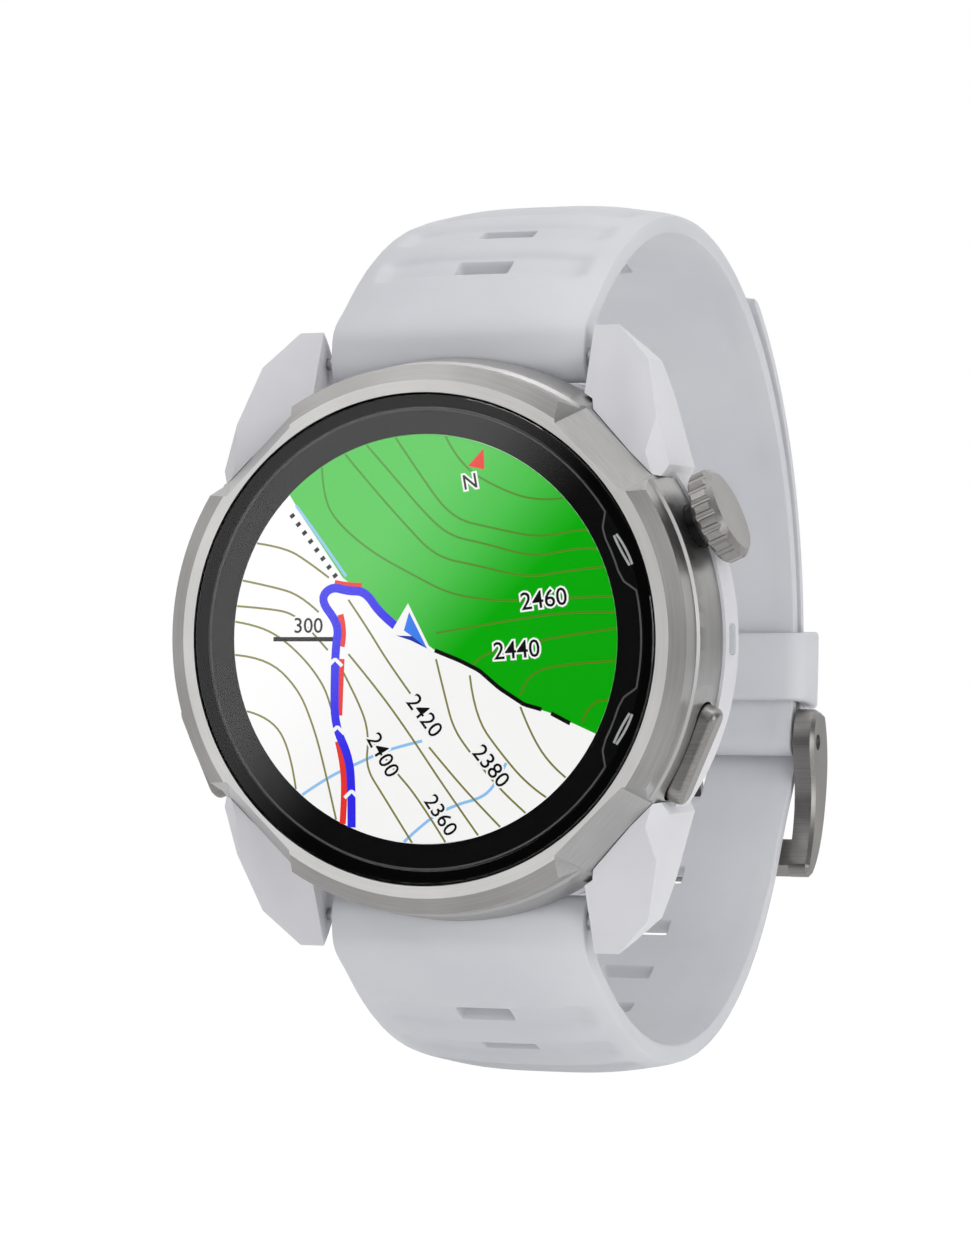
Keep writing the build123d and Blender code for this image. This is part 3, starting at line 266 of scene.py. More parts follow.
def clear_glass(name):
    """Hardened cover glass: fully clear, and glossy but for faint clouds of finger grease."""
    material, output = new_material(name)
    place = add_node(material, "ShaderNodeTexCoord").outputs["Object"]
    grease = add_node(material, "ShaderNodeTexNoise",
                      [("Vector", place), ("Scale", 1 / (GREASE * MM)), ("Detail", 2.0)])
    gloss = add_node(material, "ShaderNodeMapRange",
                     [("Value", grease.outputs["Fac"]), ("To Min", 0.01), ("To Max", 0.03)])
    shader = add_node(material, "ShaderNodeBsdfPrincipled",
                      [("Base Color", srgb("#FFFFFF")), ("Roughness", gloss.outputs["Result"]),
                       ("IOR", 1.5), ("Transmission Weight", 1.0)])
    material.node_tree.links.new(shader.outputs["BSDF"], output.inputs["Surface"])
    return material


# A cool white with a fine grain, which keeps the case from shining and softens its highlights.
white_polymer = moulded("moulded_glass_filled_nylon", "#E4E4E6", "#DDDDE0",
                        grain=0.22, depth=0.012, roughness=0.42, specular=0.45)
# A dry, soft white with a faint bloom at its edges, as a blasted mould gives rubber.
silicone = moulded("moulded_matte_silicone", "#DFE0E3", "#D8D9DD",
                   grain=0.16, depth=0.010, roughness=0.58, specular=0.35, sheen=0.15)
# Near black with a dull gloss.
black_plastic = moulded("moulded_black_polycarbonate", "#0E0E10", "#08080A",
                        grain=0.2, depth=0.008, roughness=0.4)
# Softer and greyer than the black plastic, with hardly a highlight.
black_rubber = moulded("moulded_nitrile_rubber", "#1C1C1E", "#121214",
                       grain=0.15, depth=0.01, roughness=0.6)
# Milky and smooth, as a sheet that spreads light.
clear_plastic = moulded("cast_diffuser_acrylic", "#DDE2E4", "#CCD2D5",
                        grain=0.3, depth=0.004, roughness=0.25)
# Glossy and near black, so that the lights under it don't show.
dark_window = moulded("polished_tinted_acrylic", "#0C0C12", "#07070B",
                      grain=0.5, depth=0.002, roughness=0.08)
# Green lacquer with a slight orange peel.
circuit_board = moulded("printed_solder_mask", "#0F4A2B", "#0A3620",
                        grain=0.3, depth=0.01, roughness=0.35)
# The dull grey foil of a pouch cell.
battery_film = moulded("laminated_battery_film", "#5E6166", "#4B4E53",
                       grain=0.5, depth=0.01, roughness=0.4)
# Dark and lightless, with open pores.
foam = moulded("cut_rubber_foam", "#2E2E30", "#1E1E20", grain=0.3, depth=0.05, roughness=0.8)
# A warm grey whose straight lines draw its highlights out, on the buckle, crown and buttons.
titanium = brushed("brushed_titanium", "#A09E9B", "#7E7C79", roughness=0.32)
# A finer brush on the bezel's bevel: a shade paler, with its lines round the dial.
titanium_bevel = brushed("fine_brushed_titanium", "#A5A4A2", "#918F8D",
                         roughness=0.36, round_dial=True)
# The bezel's walls as the lathe leaves them, with the light running round them.
titanium_ring = brushed("turned_titanium", "#BAB9B8", "#A3A2A1", roughness=0.36, round_dial=True)
# The flange and the step: a bead-blasted satin finish, and a pale colour that is a painted highlight
# on the faces that look straight out.
highlight_painted_titanium = brushed("satin_titanium_painted_highlight", "#DEDDDB", "#D0CFCD",
                         roughness=0.5, round_dial=True)
# Cold and bright, with sharp little highlights.
steel = brushed("drawn_stainless_steel", "#C4C4C6", "#A9A9AC", roughness=0.28)
# Bare steel painted near black as painted shade, for the shadow in the crown's neck, with a dull
# gloss.
steel_in_painted_shade = brushed("steel_in_painted_shade", "#2A2A2C", "#1C1C1E", roughness=0.4)
# Warm, bright yellow.
gold_plate = brushed("gold_plated_brass", "#E0B860", "#C9A050", roughness=0.25)
# Pale grey and a little cloudy.
tin_can = brushed("tinned_steel", "#B9BABC", "#9FA0A2", roughness=0.35)
# Dull, dark and grainy, as pressed powder is.
tungsten = brushed("sintered_tungsten", "#6C6C70", "#5A5A5E", roughness=0.5)
# A brownish yellow strip.
antenna_brass = brushed("stamped_brass", "#C9AE6A", "#AF9452", roughness=0.3)
# Black ink behind the glass, which takes all its gloss from the glass over it.
glass_border = moulded("screen_printed_black_ink", "#070708", "#050506",
                       grain=0.3, depth=0.001, roughness=0.6, specular=0.0)
# Clear, with a hard gloss that shows over the black border.
cover_glass = clear_glass("polished_cover_glass")
# White that shines of itself, as the map's open ground.
land_ink = screen_ink("lit_screen_open_ground", (0.0, "#FFFFFF"), (1.0, "#FCFCFB"))

SLOT_MATERIALS = {
    "titanium": titanium, "glass": cover_glass, "screen": land_ink, "black_plastic": black_plastic,
    "black_rubber": black_rubber, "clear_plastic": clear_plastic, "white_polymer": white_polymer,
    "dark_window": dark_window, "circuit_board": circuit_board, "gold_contacts": gold_plate,
    "chip_cans": tin_can, "battery_cell": battery_film, "foam_pad": foam,
    "antenna_metal": antenna_brass, "tungsten": tungsten, "steel": steel, "silicone": silicone,
}
for part in frame["record"]["subparts"]:
    carried = frame["nodes"][part["node"]]
    carried.data.materials.clear()
    carried.data.materials.append(SLOT_MATERIALS[part["material_slot"]])
# The crown's tube is steel whose near black colour is painted shade, for the shadow under the crown.
frame["nodes"]["crown_tube"].data.materials[0] = steel_in_painted_shade
for node in ("border_ring", "lens_gasket"):
    frame["nodes"][node].data.materials[0] = glass_border

# ---- camera: level with the dial, a little to its right, with a long lens ----
eye = Vector((117.7, -321.9, 0.0)) * MM
aim = Vector((0.0, -13.6, 0.0)) * MM
camera = bpy.data.objects.new("camera", bpy.data.cameras.new("camera"))
bpy.context.scene.collection.objects.link(camera)
camera.location = eye
camera.rotation_euler = (aim - eye).to_track_quat("-Z", "Y").to_euler()
camera.data.lens = 119.57
camera.data.sensor_width = 36.0
camera.data.shift_x = 0.0524
camera.data.shift_y = 0.018
camera.data.clip_start = 0.01
bpy.context.scene.camera = camera


# ---- making pieces ----
# Corners of a mesh that are closer than this many mm are one.
WELD = 0.0005
# Faces of a frame mesh that turn by less than this many degrees are one flat face.
FLAT_TURN = 0.6


def finished(name, mesh, material, body, sharp=35.0, nodes=()):
    """Puts a mesh in the scene as a piece that rides on a body and takes the finish it is given."""
    mesh.name = name
    mesh.materials.clear()
    mesh.materials.append(material)
    mesh.shade_smooth()
    mesh.set_sharp_from_angle(angle=math.radians(sharp))
    piece = bpy.data.objects.new(name, mesh)
    bpy.context.scene.collection.objects.link(piece)
    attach(piece, body)
    if nodes:
        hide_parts(*nodes)
    return piece


def mesh_of(bm, scale=True):
    """A mesh in metres from a bmesh in millimetres, or without scale from one in metres."""
    mesh = bpy.data.meshes.new("shape")
    bm.to_mesh(mesh)
    bm.free()
    if scale:
        mesh.transform(TO_METRES)
    return mesh


def baked(piece):
    """The piece's mesh with its modifiers applied, and the piece taken out of the scene."""
    graph = bpy.context.evaluated_depsgraph_get()
    mesh = bpy.data.meshes.new_from_object(piece.evaluated_get(graph), depsgraph=graph)
    bpy.data.objects.remove(piece)
    return mesh


def dial_place(height):
    """Turns a flat drawing in x and y into the dial's plane at a height in mm, in metres."""
    turn = Matrix(((1, 0, 0, 0), (0, 0, -1, 0), (0, 1, 0, 0), (0, 0, 0, 1)))
    return Matrix.Translation((0, -height * MM, 0)) @ turn @ TO_METRES


# ---- the strap halves ----
def on_loop(radius, angle):
    """A point on the strap's loop, by its radius and its angle from the back towards 12 o'clock."""
    turn = math.radians(angle)
    return Vector((0, LOOP_BACK + radius * math.cos(turn), radius * math.sin(turn)))


def smooth_step(value):
    """A soft change from 0 to 1 as the value goes from 0 to 1."""
    value = min(max(value, 0.0), 1.0)
    return value * value * (3 - 2 * value)


def rise(low, high, angle):
    """The climb of the lower half from inside the loop to the tail's place on it."""
    return low + (high - low) * smooth_step((angle - RISE_START) / (RISE_END - RISE_START))


# The outer face falls towards the strap's edges, by a steep curve.
EDGE_DROP = 1.25
EDGE_CURVE = 3.2
# Cross grooves in the outer face: half widths at the floor, at the foot of the wall and at the top.
GROOVE_DEPTH = 0.7
GROOVE_FLOOR = 1.3
GROOVE_FOOT = 1.4
GROOVE_EDGE = 2.05
GROOVE_REACH = 8.4
GROOVE_FADE = 1.0
# Low ribs across the inner face, as far apart as the slots.
RIB_DEPTH = 0.2
RIB_REACH = 8.5
RIB_FADE = 1.2
# The longest step in degrees from one line across the strap to the next, and the shortest at the
# loop's ends.
LONGEST_STEP = 2.8
SHORTEST_STEP = 0.4
# Lines that the halves need besides those of their slots: on the upper one under the tail's end and
# the keeper, and on the lower one at the tongue's slot and where it climbs out of the loop.
UPPER_EXTRA = (58.0, 50.0, -10.0)
LOWER_EXTRA = (*TONGUE_SLOT, RISE_START, -28.0, -12.0)
# Edges that turn by more than this many degrees stay this crisp when the strap is rounded.
CREASE_FROM, CREASE = 50, 0.55
# How much of the crowned face there is round the bar, on the way out to the loop, and at its start.
BAR_CROWN, RISING_CROWN, START_CROWN = 0.55, 0.7, 0.85
# A thin tail is flatter, but not by as much as it is thinner.
TAIL_CROWN = 0.15
# Places of the lines along the strap, from its middle to its edge.
ACROSS = [0.0, 1.75, 2.4, 2.75, 3.6, 5.2, 6.8, 8.2, 8.9, 9.6, 10.3, 10.8, 11.1]
ACROSS = [-x for x in ACROSS[:0:-1]] + ACROSS


class StrapLine:
    """One line across the strap: its outer and inner points in the side view.

    On the loop it has an angle. Off the loop it says how much of the crowned face it has.
    """

    def __init__(self, outer, inner, angle=None, thick=STRAP_T, crown=1.0):
        self.outer, self.inner = outer, inner
        self.angle, self.thick, self.crown = angle, thick, crown


def bar_end(side):
    """Lines round the spring bar, from the watch's side, and up to the loop."""
    centre = Vector((0, -BAR_HEIGHT, side * BAR_OFFSET))
    made = []
    for degrees in (14, 40, 66, 90):
        turn = math.radians(degrees)
        back = Vector((0, 0, -side * math.cos(turn)))
        made.append(StrapLine(centre + BARREL_R * (back + Vector((0, -math.sin(turn), 0))),
                              centre + BARREL_R * (back + Vector((0, math.sin(turn), 0))),
                              crown=BAR_CROWN))
    out_start = math.degrees(math.acos((-BAR_HEIGHT - BARREL_R - LOOP_BACK) / LOOP_OUT))
    in_start = math.degrees(math.acos((-BAR_HEIGHT + BARREL_R - LOOP_BACK) / LOOP_IN))
    loop_outer, loop_inner = on_loop(LOOP_OUT, side * out_start), on_loop(LOOP_IN, side * in_start)
    made.append(StrapLine((made[-1].outer + loop_outer) / 2, (made[-1].inner + loop_inner) / 2,
                          crown=RISING_CROWN))
    made.append(StrapLine(loop_outer, loop_inner, crown=START_CROWN))
    return made


def loop_angles(first, last, slots, extra):
    """Angles of the lines across the strap, with the edges of every slot and groove among them."""
    step = -1 if last < first else 1
    marks = set(extra)
    for slot in slots:
        for offset in (GROOVE_EDGE, GROOVE_FOOT, SLOT_HALF_WIDE):
            for sign in (-1, 1):
                marks.add(round(slot + sign * math.degrees(offset / LOOP_MIDDLE), 3))
    marks = sorted((a for a in marks
                    if (a - first) * step > SHORTEST_STEP and (last - a) * step > SHORTEST_STEP),
                   reverse=step < 0)
    filled, here = [first], first
    for mark in marks + [last]:
        count = max(1, round(abs(mark - here) / LONGEST_STEP))
        filled += [here + (mark - here) * n / count for n in range(1, count + 1)]
        here = mark
    return filled


def outer_drop(x, angle, slots, depth):
    """How far the strap's outer face lies under its full height, for its crown and its grooves."""
    drop = EDGE_DROP * (abs(x) / STRAP_HALF) ** EDGE_CURVE
    reach = 1 - smooth_step((abs(x) - GROOVE_REACH) / GROOVE_FADE)
    for slot in slots:
        away = math.radians(abs(angle - slot)) * LOOP_MIDDLE
        if away < GROOVE_EDGE:
            wall = (away - GROOVE_FLOOR) / (GROOVE_EDGE - GROOVE_FLOOR)
            drop += depth * reach * (1 - smooth_step(wall))
    return drop


def inner_lift(x, angle, slots):
    """How far a rib stands up from the strap's inner face."""
    wave = 0.5 + 0.5 * math.cos((angle - slots[0]) / SLOT_PITCH * 2 * math.pi)
    return RIB_DEPTH * wave * (1 - smooth_step((abs(x) - RIB_REACH) / RIB_FADE))


def strap_mesh(lines, slots, holes):
    """A strap half: one sheet with its slots, folded to the loop, and a second face under it."""
    # A flat grid, whose corners know their row and column.
    bm = bmesh.new()
    columns, rows = len(ACROSS), len(lines)
    bmesh.ops.create_grid(bm, x_segments=columns - 1, y_segments=rows - 1, size=0.5)
    key = bm.verts.layers.int.new("key")
    below = bm.verts.layers.int.new("below")
    for vert in bm.verts:
        column = round((vert.co.x + 0.5) * (columns - 1))
        vert[key] = round((vert.co.y + 0.5) * (rows - 1)) * columns + column
    # The slots are cut out of it, and it gets a second face.
    cut_out = []
    for face in bm.faces:
        x = sum(ACROSS[v[key] % columns] for v in face.verts) / 4
        row = min(v[key] // columns for v in face.verts)
        low, high = lines[row], lines[row + 1]
        if low.angle is None or high.angle is None:
            continue
        angle = (low.angle + high.angle) / 2
        if abs(x) < SLOT_HALF_LONG and any(start < angle < end for start, end in holes):
            cut_out.append(face)
    bmesh.ops.delete(bm, geom=cut_out, context="FACES")
    second_face = bmesh.ops.extrude_face_region(bm, geom=bm.faces[:], use_keep_orig=True)
    for item in second_face["geom"]:
        if isinstance(item, bmesh.types.BMVert):
            item[below] = 1
    # Each corner goes to its place on the loop.
    for vert in bm.verts:
        x, row = ACROSS[vert[key] % columns], vert[key] // columns
        line = lines[row]
        outward = (line.outer - line.inner).normalized()
        if vert[below]:
            lift = 0.0 if line.angle is None else inner_lift(x, line.angle, slots)
            point = line.inner + outward * lift
        else:
            if line.angle is None:
                drop = EDGE_DROP * line.crown * (abs(x) / STRAP_HALF) ** EDGE_CURVE
            else:
                share = line.thick / STRAP_T
                drop = outer_drop(x, line.angle, slots, GROOVE_DEPTH * share)
                drop *= min(share + TAIL_CROWN, 1.0)
            point = line.outer - outward * drop
        vert.co = Vector((x, point.y, point.z))
    bmesh.ops.remove_doubles(bm, verts=bm.verts[:], dist=2 * WELD)
    bmesh.ops.recalc_face_normals(bm, faces=bm.faces[:])
    return bm


def creased(bm):
    """Marks the sharp edges of a strap half, so that rounding keeps them crisp."""
    crease = bm.edges.layers.float.get("crease_edge") or bm.edges.layers.float.new("crease_edge")
    for edge in bm.edges:
        if len(edge.link_faces) == 2 and edge.calc_face_angle() > math.radians(CREASE_FROM):
            edge[crease] = CREASE


upper_slots = [UPPER_SLOT_FIRST - SLOT_PITCH * n for n in range(6)]
lower_slots = [LOWER_SLOT_FIRST + SLOT_PITCH * n for n in range(9)]
tail_slots = [TAIL_END - SLOT_PITCH * (n + 1) for n in range(4)]
slot_turn = math.degrees(SLOT_HALF_WIDE / LOOP_MIDDLE)


def slot_holes(slots):
    """Where each slot starts and ends on the loop."""
    return [(angle - slot_turn, angle + slot_turn) for angle in slots]


def buckle_end():
    """Lines round the buckle's bar at the end of the upper strap."""
    centre = on_loop(LOOP_MIDDLE, STRAP_END)
    out = on_loop(LOOP_MIDDLE + 1, STRAP_END) - centre
    along = (on_loop(LOOP_MIDDLE, STRAP_END - 1) - centre).normalized()
    made = []
    for degrees in (60, 30, 8):
        turn = math.radians(degrees)
        ahead = centre + STRAP_T / 2 * math.cos(turn) * along
        aside = STRAP_T / 2 * math.sin(turn) * out
        made.append(StrapLine(ahead + aside, ahead - aside, crown=0.0))
    return made


upper_lines = bar_end(1)
for angle in loop_angles(LOOP_START, STRAP_END, upper_slots, UPPER_EXTRA):
    upper_lines.append(StrapLine(on_loop(LOOP_OUT, angle), on_loop(LOOP_IN, angle), angle))
upper_lines += buckle_end()

# The tail's last line is thinner, so that its end is round.
TIP_START = 1.2
TIP_OUT, TIP_IN = 0.35, 0.25
lower_lines = bar_end(-1)
for angle in loop_angles(-LOOP_START, TAIL_END - TIP_START, lower_slots + tail_slots, LOWER_EXTRA):
    inner, outer = rise(LOOP_IN, TAIL_IN, angle), rise(LOOP_OUT, TAIL_IN + TAIL_T, angle)
    lower_lines.append(StrapLine(on_loop(outer, angle), on_loop(inner, angle), angle,
                                 outer - inner))
lower_lines.append(StrapLine(on_loop(TAIL_IN + TAIL_T - TIP_OUT, TAIL_END),
                             on_loop(TAIL_IN + TIP_IN, TAIL_END)))


def soft_strap(name, lines, slots, holes, node):
    """A strap half with its edges rounded, in place of its plain solid."""
    bm = strap_mesh(lines, slots, holes)
    creased(bm)
    piece = finished(name, mesh_of(bm), silicone, "case", 180.0, [node])
    rounding = piece.modifiers.new("rounding", "SUBSURF")
    rounding.levels = rounding.render_levels = 2


soft_strap("upper_silicone_strap", upper_lines, upper_slots, slot_holes(upper_slots), "upper_strap")
soft_strap("lower_silicone_strap", lower_lines, lower_slots + tail_slots,
           slot_holes(lower_slots + tail_slots) + [TONGUE_SLOT], "lower_strap")

# ---- the keeper ----
KEEPER_LOW, KEEPER_TURN = -9.6, 10.6
KEEPER_WALL = 1.15
KEEPER_WIDE, KEEPER_TALL, KEEPER_CORNER = 23.65, 6.0, 1.3
KEEPER_EDGE = 0.35


def keeper_band():
    """A rounded band round both strap layers, bent to the loop."""
    bm = bmesh.new()
    bmesh.ops.create_grid(bm, x_segments=1, y_segments=1, size=0.5,
                          matrix=Matrix.Diagonal((KEEPER_WIDE, KEEPER_TALL, 1, 1)))
    bmesh.ops.bevel(bm, geom=bm.verts[:], offset=KEEPER_CORNER, offset_type="OFFSET", segments=7,
                    profile=0.5, affect="VERTICES", material=-1)
    bmesh.ops.delete(bm, geom=bm.faces[:], context="FACES_ONLY")
    straight = [edge for edge in bm.edges if edge.calc_length() > KEEPER_CORNER]
    bmesh.ops.subdivide_edges(bm, edges=straight, cuts=7)
    out = on_loop(1, KEEPER_LOW) - on_loop(0, KEEPER_LOW)
    along = Vector((0, -out.z, out.y))
    middle = on_loop((LOOP_IN + TAIL_IN + TAIL_T) / 2, KEEPER_LOW)
    bm.transform(Matrix(((1, 0, 0, 0), (0, out.y, along.y, middle.y), (0, out.z, along.z, middle.z),
                         (0, 0, 0, 1))))
    bmesh.ops.spin(bm, geom=bm.edges[:], cent=(0, LOOP_BACK, 0), axis=(1, 0, 0),
                   angle=math.radians(KEEPER_TURN), steps=8, use_duplicate=False)
    bmesh.ops.recalc_face_normals(bm, faces=bm.faces[:])
    return bm


keeper = finished("silicone_keeper", mesh_of(keeper_band()), silicone, "strap_keeper",
                  60.0, ["keeper"])
wall = keeper.modifiers.new("wall", "SOLIDIFY")
wall.thickness, wall.offset = KEEPER_WALL * MM, 0.0
edge = keeper.modifiers.new("soft_edge", "BEVEL")
edge.width, edge.segments, edge.limit_method = KEEPER_EDGE * MM, 4, "ANGLE"
edge.angle_limit = math.radians(50)


# ---- rigid parts with their edges broken, as the real ones leave the mould or the mill ----
def softened(node, name, width, material, body, segments=3, angle=30.0):
    """A copy of a frame node whose sharp edges are rounded to a width in mm."""
    bm = bmesh.new()
    bm.from_mesh(frame["nodes"][node].data)
    bmesh.ops.remove_doubles(bm, verts=bm.verts[:], dist=WELD * MM)
    bmesh.ops.dissolve_limit(bm, angle_limit=math.radians(FLAT_TURN), verts=bm.verts[:],
                             edges=bm.edges[:], use_dissolve_boundaries=False)
    piece = finished(name, mesh_of(bm, False), material, body, angle, [node])
    edge = piece.modifiers.new("soft_edge", "BEVEL")
    edge.width, edge.segments, edge.limit_method = width * MM, segments, "ANGLE"
    edge.angle_limit = math.radians(angle)
    return piece


softened("mid_case", "moulded_case", 0.3, white_polymer, "case")
bezel = softened("bezel", "milled_bezel", 0.07, titanium_ring, "case", 2, 20.0)
# The second finish is the paler titanium that paints a highlight on the flange and the step.
bezel.data.materials.append(highlight_painted_titanium)
bezel.data.materials.append(titanium_bevel)
# A face that looks straight out is flat and gets the painted highlight, and one that leans a little
# is the bevel.
FLAT_FACE = 0.97
BEVEL_FACE = (0.8, 0.95)
for face in bezel.data.polygons:
    height, facing = -face.center.y / MM, -face.normal.y
    if facing > FLAT_FACE and (height > FLANGE_LOW or STEP_LOW < height < STEP_HIGH):
        face.material_index = 1
    elif BEVEL_FACE[0] < facing < BEVEL_FACE[1] and height > BEVEL_LOW:
        face.material_index = 2

# ---- the vent's membrane in its shallow window at 3 o'clock ----
VENT_OUT, VENT_HEIGHT = 23.13, 4.3
VENT_LONG, VENT_WIDE, VENT_CORNER, VENT_T = 2.3, 1.6, 0.5, 0.08
# Pale and dry, with no gloss, a shade darker than the case.
membrane = moulded("stretched_ptfe_membrane", "#C6CACA", "#B9BDBD",
                   grain=0.12, depth=0.01, roughness=0.7, specular=0.2)
vent = bmesh.new()
bmesh.ops.create_grid(vent, x_segments=1, y_segments=1, size=0.5,
                      matrix=Matrix.Diagonal((VENT_LONG, VENT_WIDE, 1, 1)))
bmesh.ops.bevel(vent, geom=vent.verts[:], offset=VENT_CORNER, offset_type="OFFSET", segments=6,
                profile=0.5, affect="VERTICES", material=-1)
raised = bmesh.ops.extrude_face_region(vent, geom=vent.faces[:])["geom"]
bmesh.ops.translate(vent, vec=(0, 0, VENT_T),
                    verts=[item for item in raised if isinstance(item, bmesh.types.BMVert)])
bmesh.ops.recalc_face_normals(vent, faces=vent.faces[:])
vent.transform(Matrix(((0, 0, 1, VENT_OUT), (0, -1, 0, -VENT_HEIGHT), (1, 0, 0, 0), (0, 0, 0, 1))))
finished("vent_membrane", mesh_of(vent), membrane, "case")

softened("buckle_frame", "milled_buckle", 0.2, titanium, "buckle")

# ---- the coil springs in the quick-release bars, split into one piece for each bar ----
for side, half in ((1, "upper"), (-1, "lower")):
    coil = bmesh.new()
    coil.from_mesh(frame["nodes"]["bar_springs"].data)
    bmesh.ops.remove_doubles(coil, verts=coil.verts[:], dist=WELD * MM)
    bmesh.ops.delete(coil, geom=[v for v in coil.verts if v.co.z * side < 0], context="VERTS")
    spring = finished(f"{half}_bar_spring", mesh_of(coil, False), steel, "case", 35.0,
                      ["bar_springs"])
    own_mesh(spring)

# ---- the screen's map: each ink is a flat layer of its own ----
INK_T = 0.006
INK_CLEAR, INK_STEP = 0.005, 0.012
RIM = 16.45


def layer(number):
    """The height of a layer of ink over the screen, in mm."""
    return PANEL_FACE + INK_CLEAR + INK_STEP * number


def rim(angle, radius=RIM):
    """A point on the screen's rim, at an angle from 3 o'clock towards 12 o'clock."""
    return (radius * math.cos(math.radians(angle)), radius * math.sin(math.radians(angle)))


def on_dial(curve, name, material, height, place=Matrix.Identity(4)):
    """Turns a flat curve or text into a piece on the dial, from its place in the drawing."""
    holder = bpy.data.objects.new(name, curve)
    bpy.context.scene.collection.objects.link(holder)
    bpy.context.view_layer.update()
    mesh = baked(holder)
    mesh.transform(dial_place(height) @ place)
    finished(name, mesh, material, "case")


def ink_lines(name, lines, width, material, height, order=3):
    """Flat lines of a width in mm that follow those points."""
    curve = bpy.data.curves.new(name, "CURVE")
    curve.dimensions = "3D"
    curve.bevel_depth, curve.bevel_resolution, curve.use_fill_caps = width / 2, 1, True
    for points in lines:
        spline = curve.splines.new("NURBS")
        spline.points.add(len(points) - 1)
        for point, (x, y) in zip(spline.points, points):
            point.co = (x, y, 0, 1)
        spline.order_u, spline.use_endpoint_u = min(order, len(points)), True
        spline.resolution_u = 5
    on_dial(curve, name, material, height, Matrix.Diagonal((1, 1, INK_T / width, 1)))


def ink_shapes(name, shapes, material, height):
    """Flat filled shapes with those corners."""
    curve = bpy.data.curves.new(name, "CURVE")
    curve.dimensions, curve.fill_mode, curve.extrude = "2D", "BOTH", INK_T / 2
    for points in shapes:
        spline = curve.splines.new("POLY")
        spline.points.add(len(points) - 1)
        for point, (x, y) in zip(spline.points, points):
            point.co = (x, y, 0, 1)
        spline.use_cyclic_u = True
    on_dial(curve, name, material, height)


def ink_number(name, words, place, size, turn, material, height, swell):
    """Plain figures on the map, swollen by a width in mm."""
    text = bpy.data.curves.new(name, "FONT")
    text.body, text.size, text.extrude, text.offset = words, size, INK_T / 2, swell
    text.align_x, text.align_y, text.resolution_u = "CENTER", "CENTER", 3
    on_dial(text, name, material, height,
            Matrix.Translation((*place, 0)) @ Matrix.Rotation(math.radians(turn), 4, "Z"))


# The lit screen's colours, without grain or gloss, each painted lighter at the upper left and darker
# to the lower right as painted light and shade: bright green woods with brown lines over them, olive
# lines on open ground, pale blue water, and a vivid route and cursor.
forest_ink = screen_ink("lit_screen_forest", (0.2, "#56CC56"), (0.42, "#43C443"), (0.6, "#00AD00"),
                        (1.0, "#00A800"))
forest_line_ink = screen_ink("lit_screen_forest_contour", (0.0, "#4E9A34"), (1.0, "#5A7A10"))
open_line_ink = screen_ink("lit_screen_open_contour", (0.0, "#8C8A4E"), (1.0, "#7D7B3C"))
stream_ink = screen_ink("lit_screen_stream", (0.0, "#9ACBF5"), (1.0, "#8CC2F2"))
black_ink = screen_ink("lit_screen_black", (0.0, "#0A0A0A"), (1.0, "#050505"))
white_ink = screen_ink("lit_screen_white", (0.0, "#FFFFFF"), (1.0, "#F8F8F8"))
route_ink = screen_ink("lit_screen_route_blue", (0.0, "#3A34F0"), (1.0, "#2A24E8"))
red_ink = screen_ink("lit_screen_red", (0.0, "#F04038"), (1.0, "#E82C24"))
cursor_light_ink = screen_ink("lit_screen_cursor_light", (0.0, "#3D86F5"), (1.0, "#2E74EC"))
cursor_dark_ink = screen_ink("lit_screen_cursor_dark", (0.0, "#1030B8"), (1.0, "#0C269C"))

# Widths of the drawn lines in mm.
STREAM_WIDE, CONTOUR_WIDE, EDGE_WIDE, DASH_WIDE = 0.24, 0.17, 0.34, 0.42
RED_WIDE, ROUTE_WIDE, MARK_WIDE, BAR_WIDE = 0.55, 0.72, 0.3, 0.36
FIGURE_WIDEN, OUTLINE_WIDEN = 0.012, 0.16

forest_edge = [rim(134.5), (-10.4, 9.9), (-8.6, 7.4), (-6.9, 5.0), (-5.1, 3.6), (-3.2, 2.2),
               (-1.0, 0.6), (1.1, -0.9), (3.2, -1.7), (4.9, -2.5), (6.6, -3.9), (8.7, -5.2),
               (11.0, -5.9), rim(-27.0)]
forest_rim = [rim(angle, DISPLAY_R + 0.03) for angle in range(-27, 136, 3)]
ink_shapes("map_forest", [forest_edge + forest_rim], forest_ink, layer(0))
streams = [
    [rim(-129.5), (-8.2, -11.2), (-5.2, -9.9), (-3.0, -8.9), (0.0, -8.2)],
    [rim(-95.5), (0.6, -14.4), (2.9, -13.3), (5.2, -12.7), (6.3, -11.6), (7.2, -9.9)],
    [(-11.0, 10.9), (-8.9, 8.2), (-6.6, 5.1)],
]
ink_lines("map_streams", streams, STREAM_WIDE, stream_ink, layer(1))
forest_contours = [
    [rim(122), (-8.6, 11.4), (-7.2, 9.3), (-4.3, 7.0), (-0.8, 5.2), (2.2, 3.7), (5.2, 3.2),
     (8.4, 3.0), (12.6, 3.3), rim(12)],
    [rim(114), (-4.4, 12.4), (-1.4, 9.2), (1.2, 6.6), (4.8, 5.9), (9.0, 4.9), (12.0, 5.4),
     rim(20.5)],
    [rim(107), (-2.2, 12.9), (0.0, 10.4), (2.3, 8.3), (5.3, 7.7), (9.6, 6.5), (13.2, 7.3), rim(26)],
    [rim(98), (-0.4, 13.6), (2.5, 9.7), (6.1, 8.9), (9.9, 8.1), (12.6, 8.6), rim(32)],
    [rim(83), (3.3, 13.9), (6.7, 12.0), (9.8, 11.0), rim(43)],
    [(1.2, 0.5), (4.4, 1.0), (8.2, 1.6), (12.5, 2.2), rim(7.5)],
    [(4.4, -2.1), (4.9, -1.3), (8.0, -0.5), (12.2, 0.3), rim(3)],
    [(8.4, -4.5), (8.9, -2.7), (12.4, -1.9), rim(-6)],
    [(13.6, -6.6), (14.3, -4.7), rim(-17)],
]
ink_lines("map_forest_contours", forest_contours, CONTOUR_WIDE, forest_line_ink, layer(2))
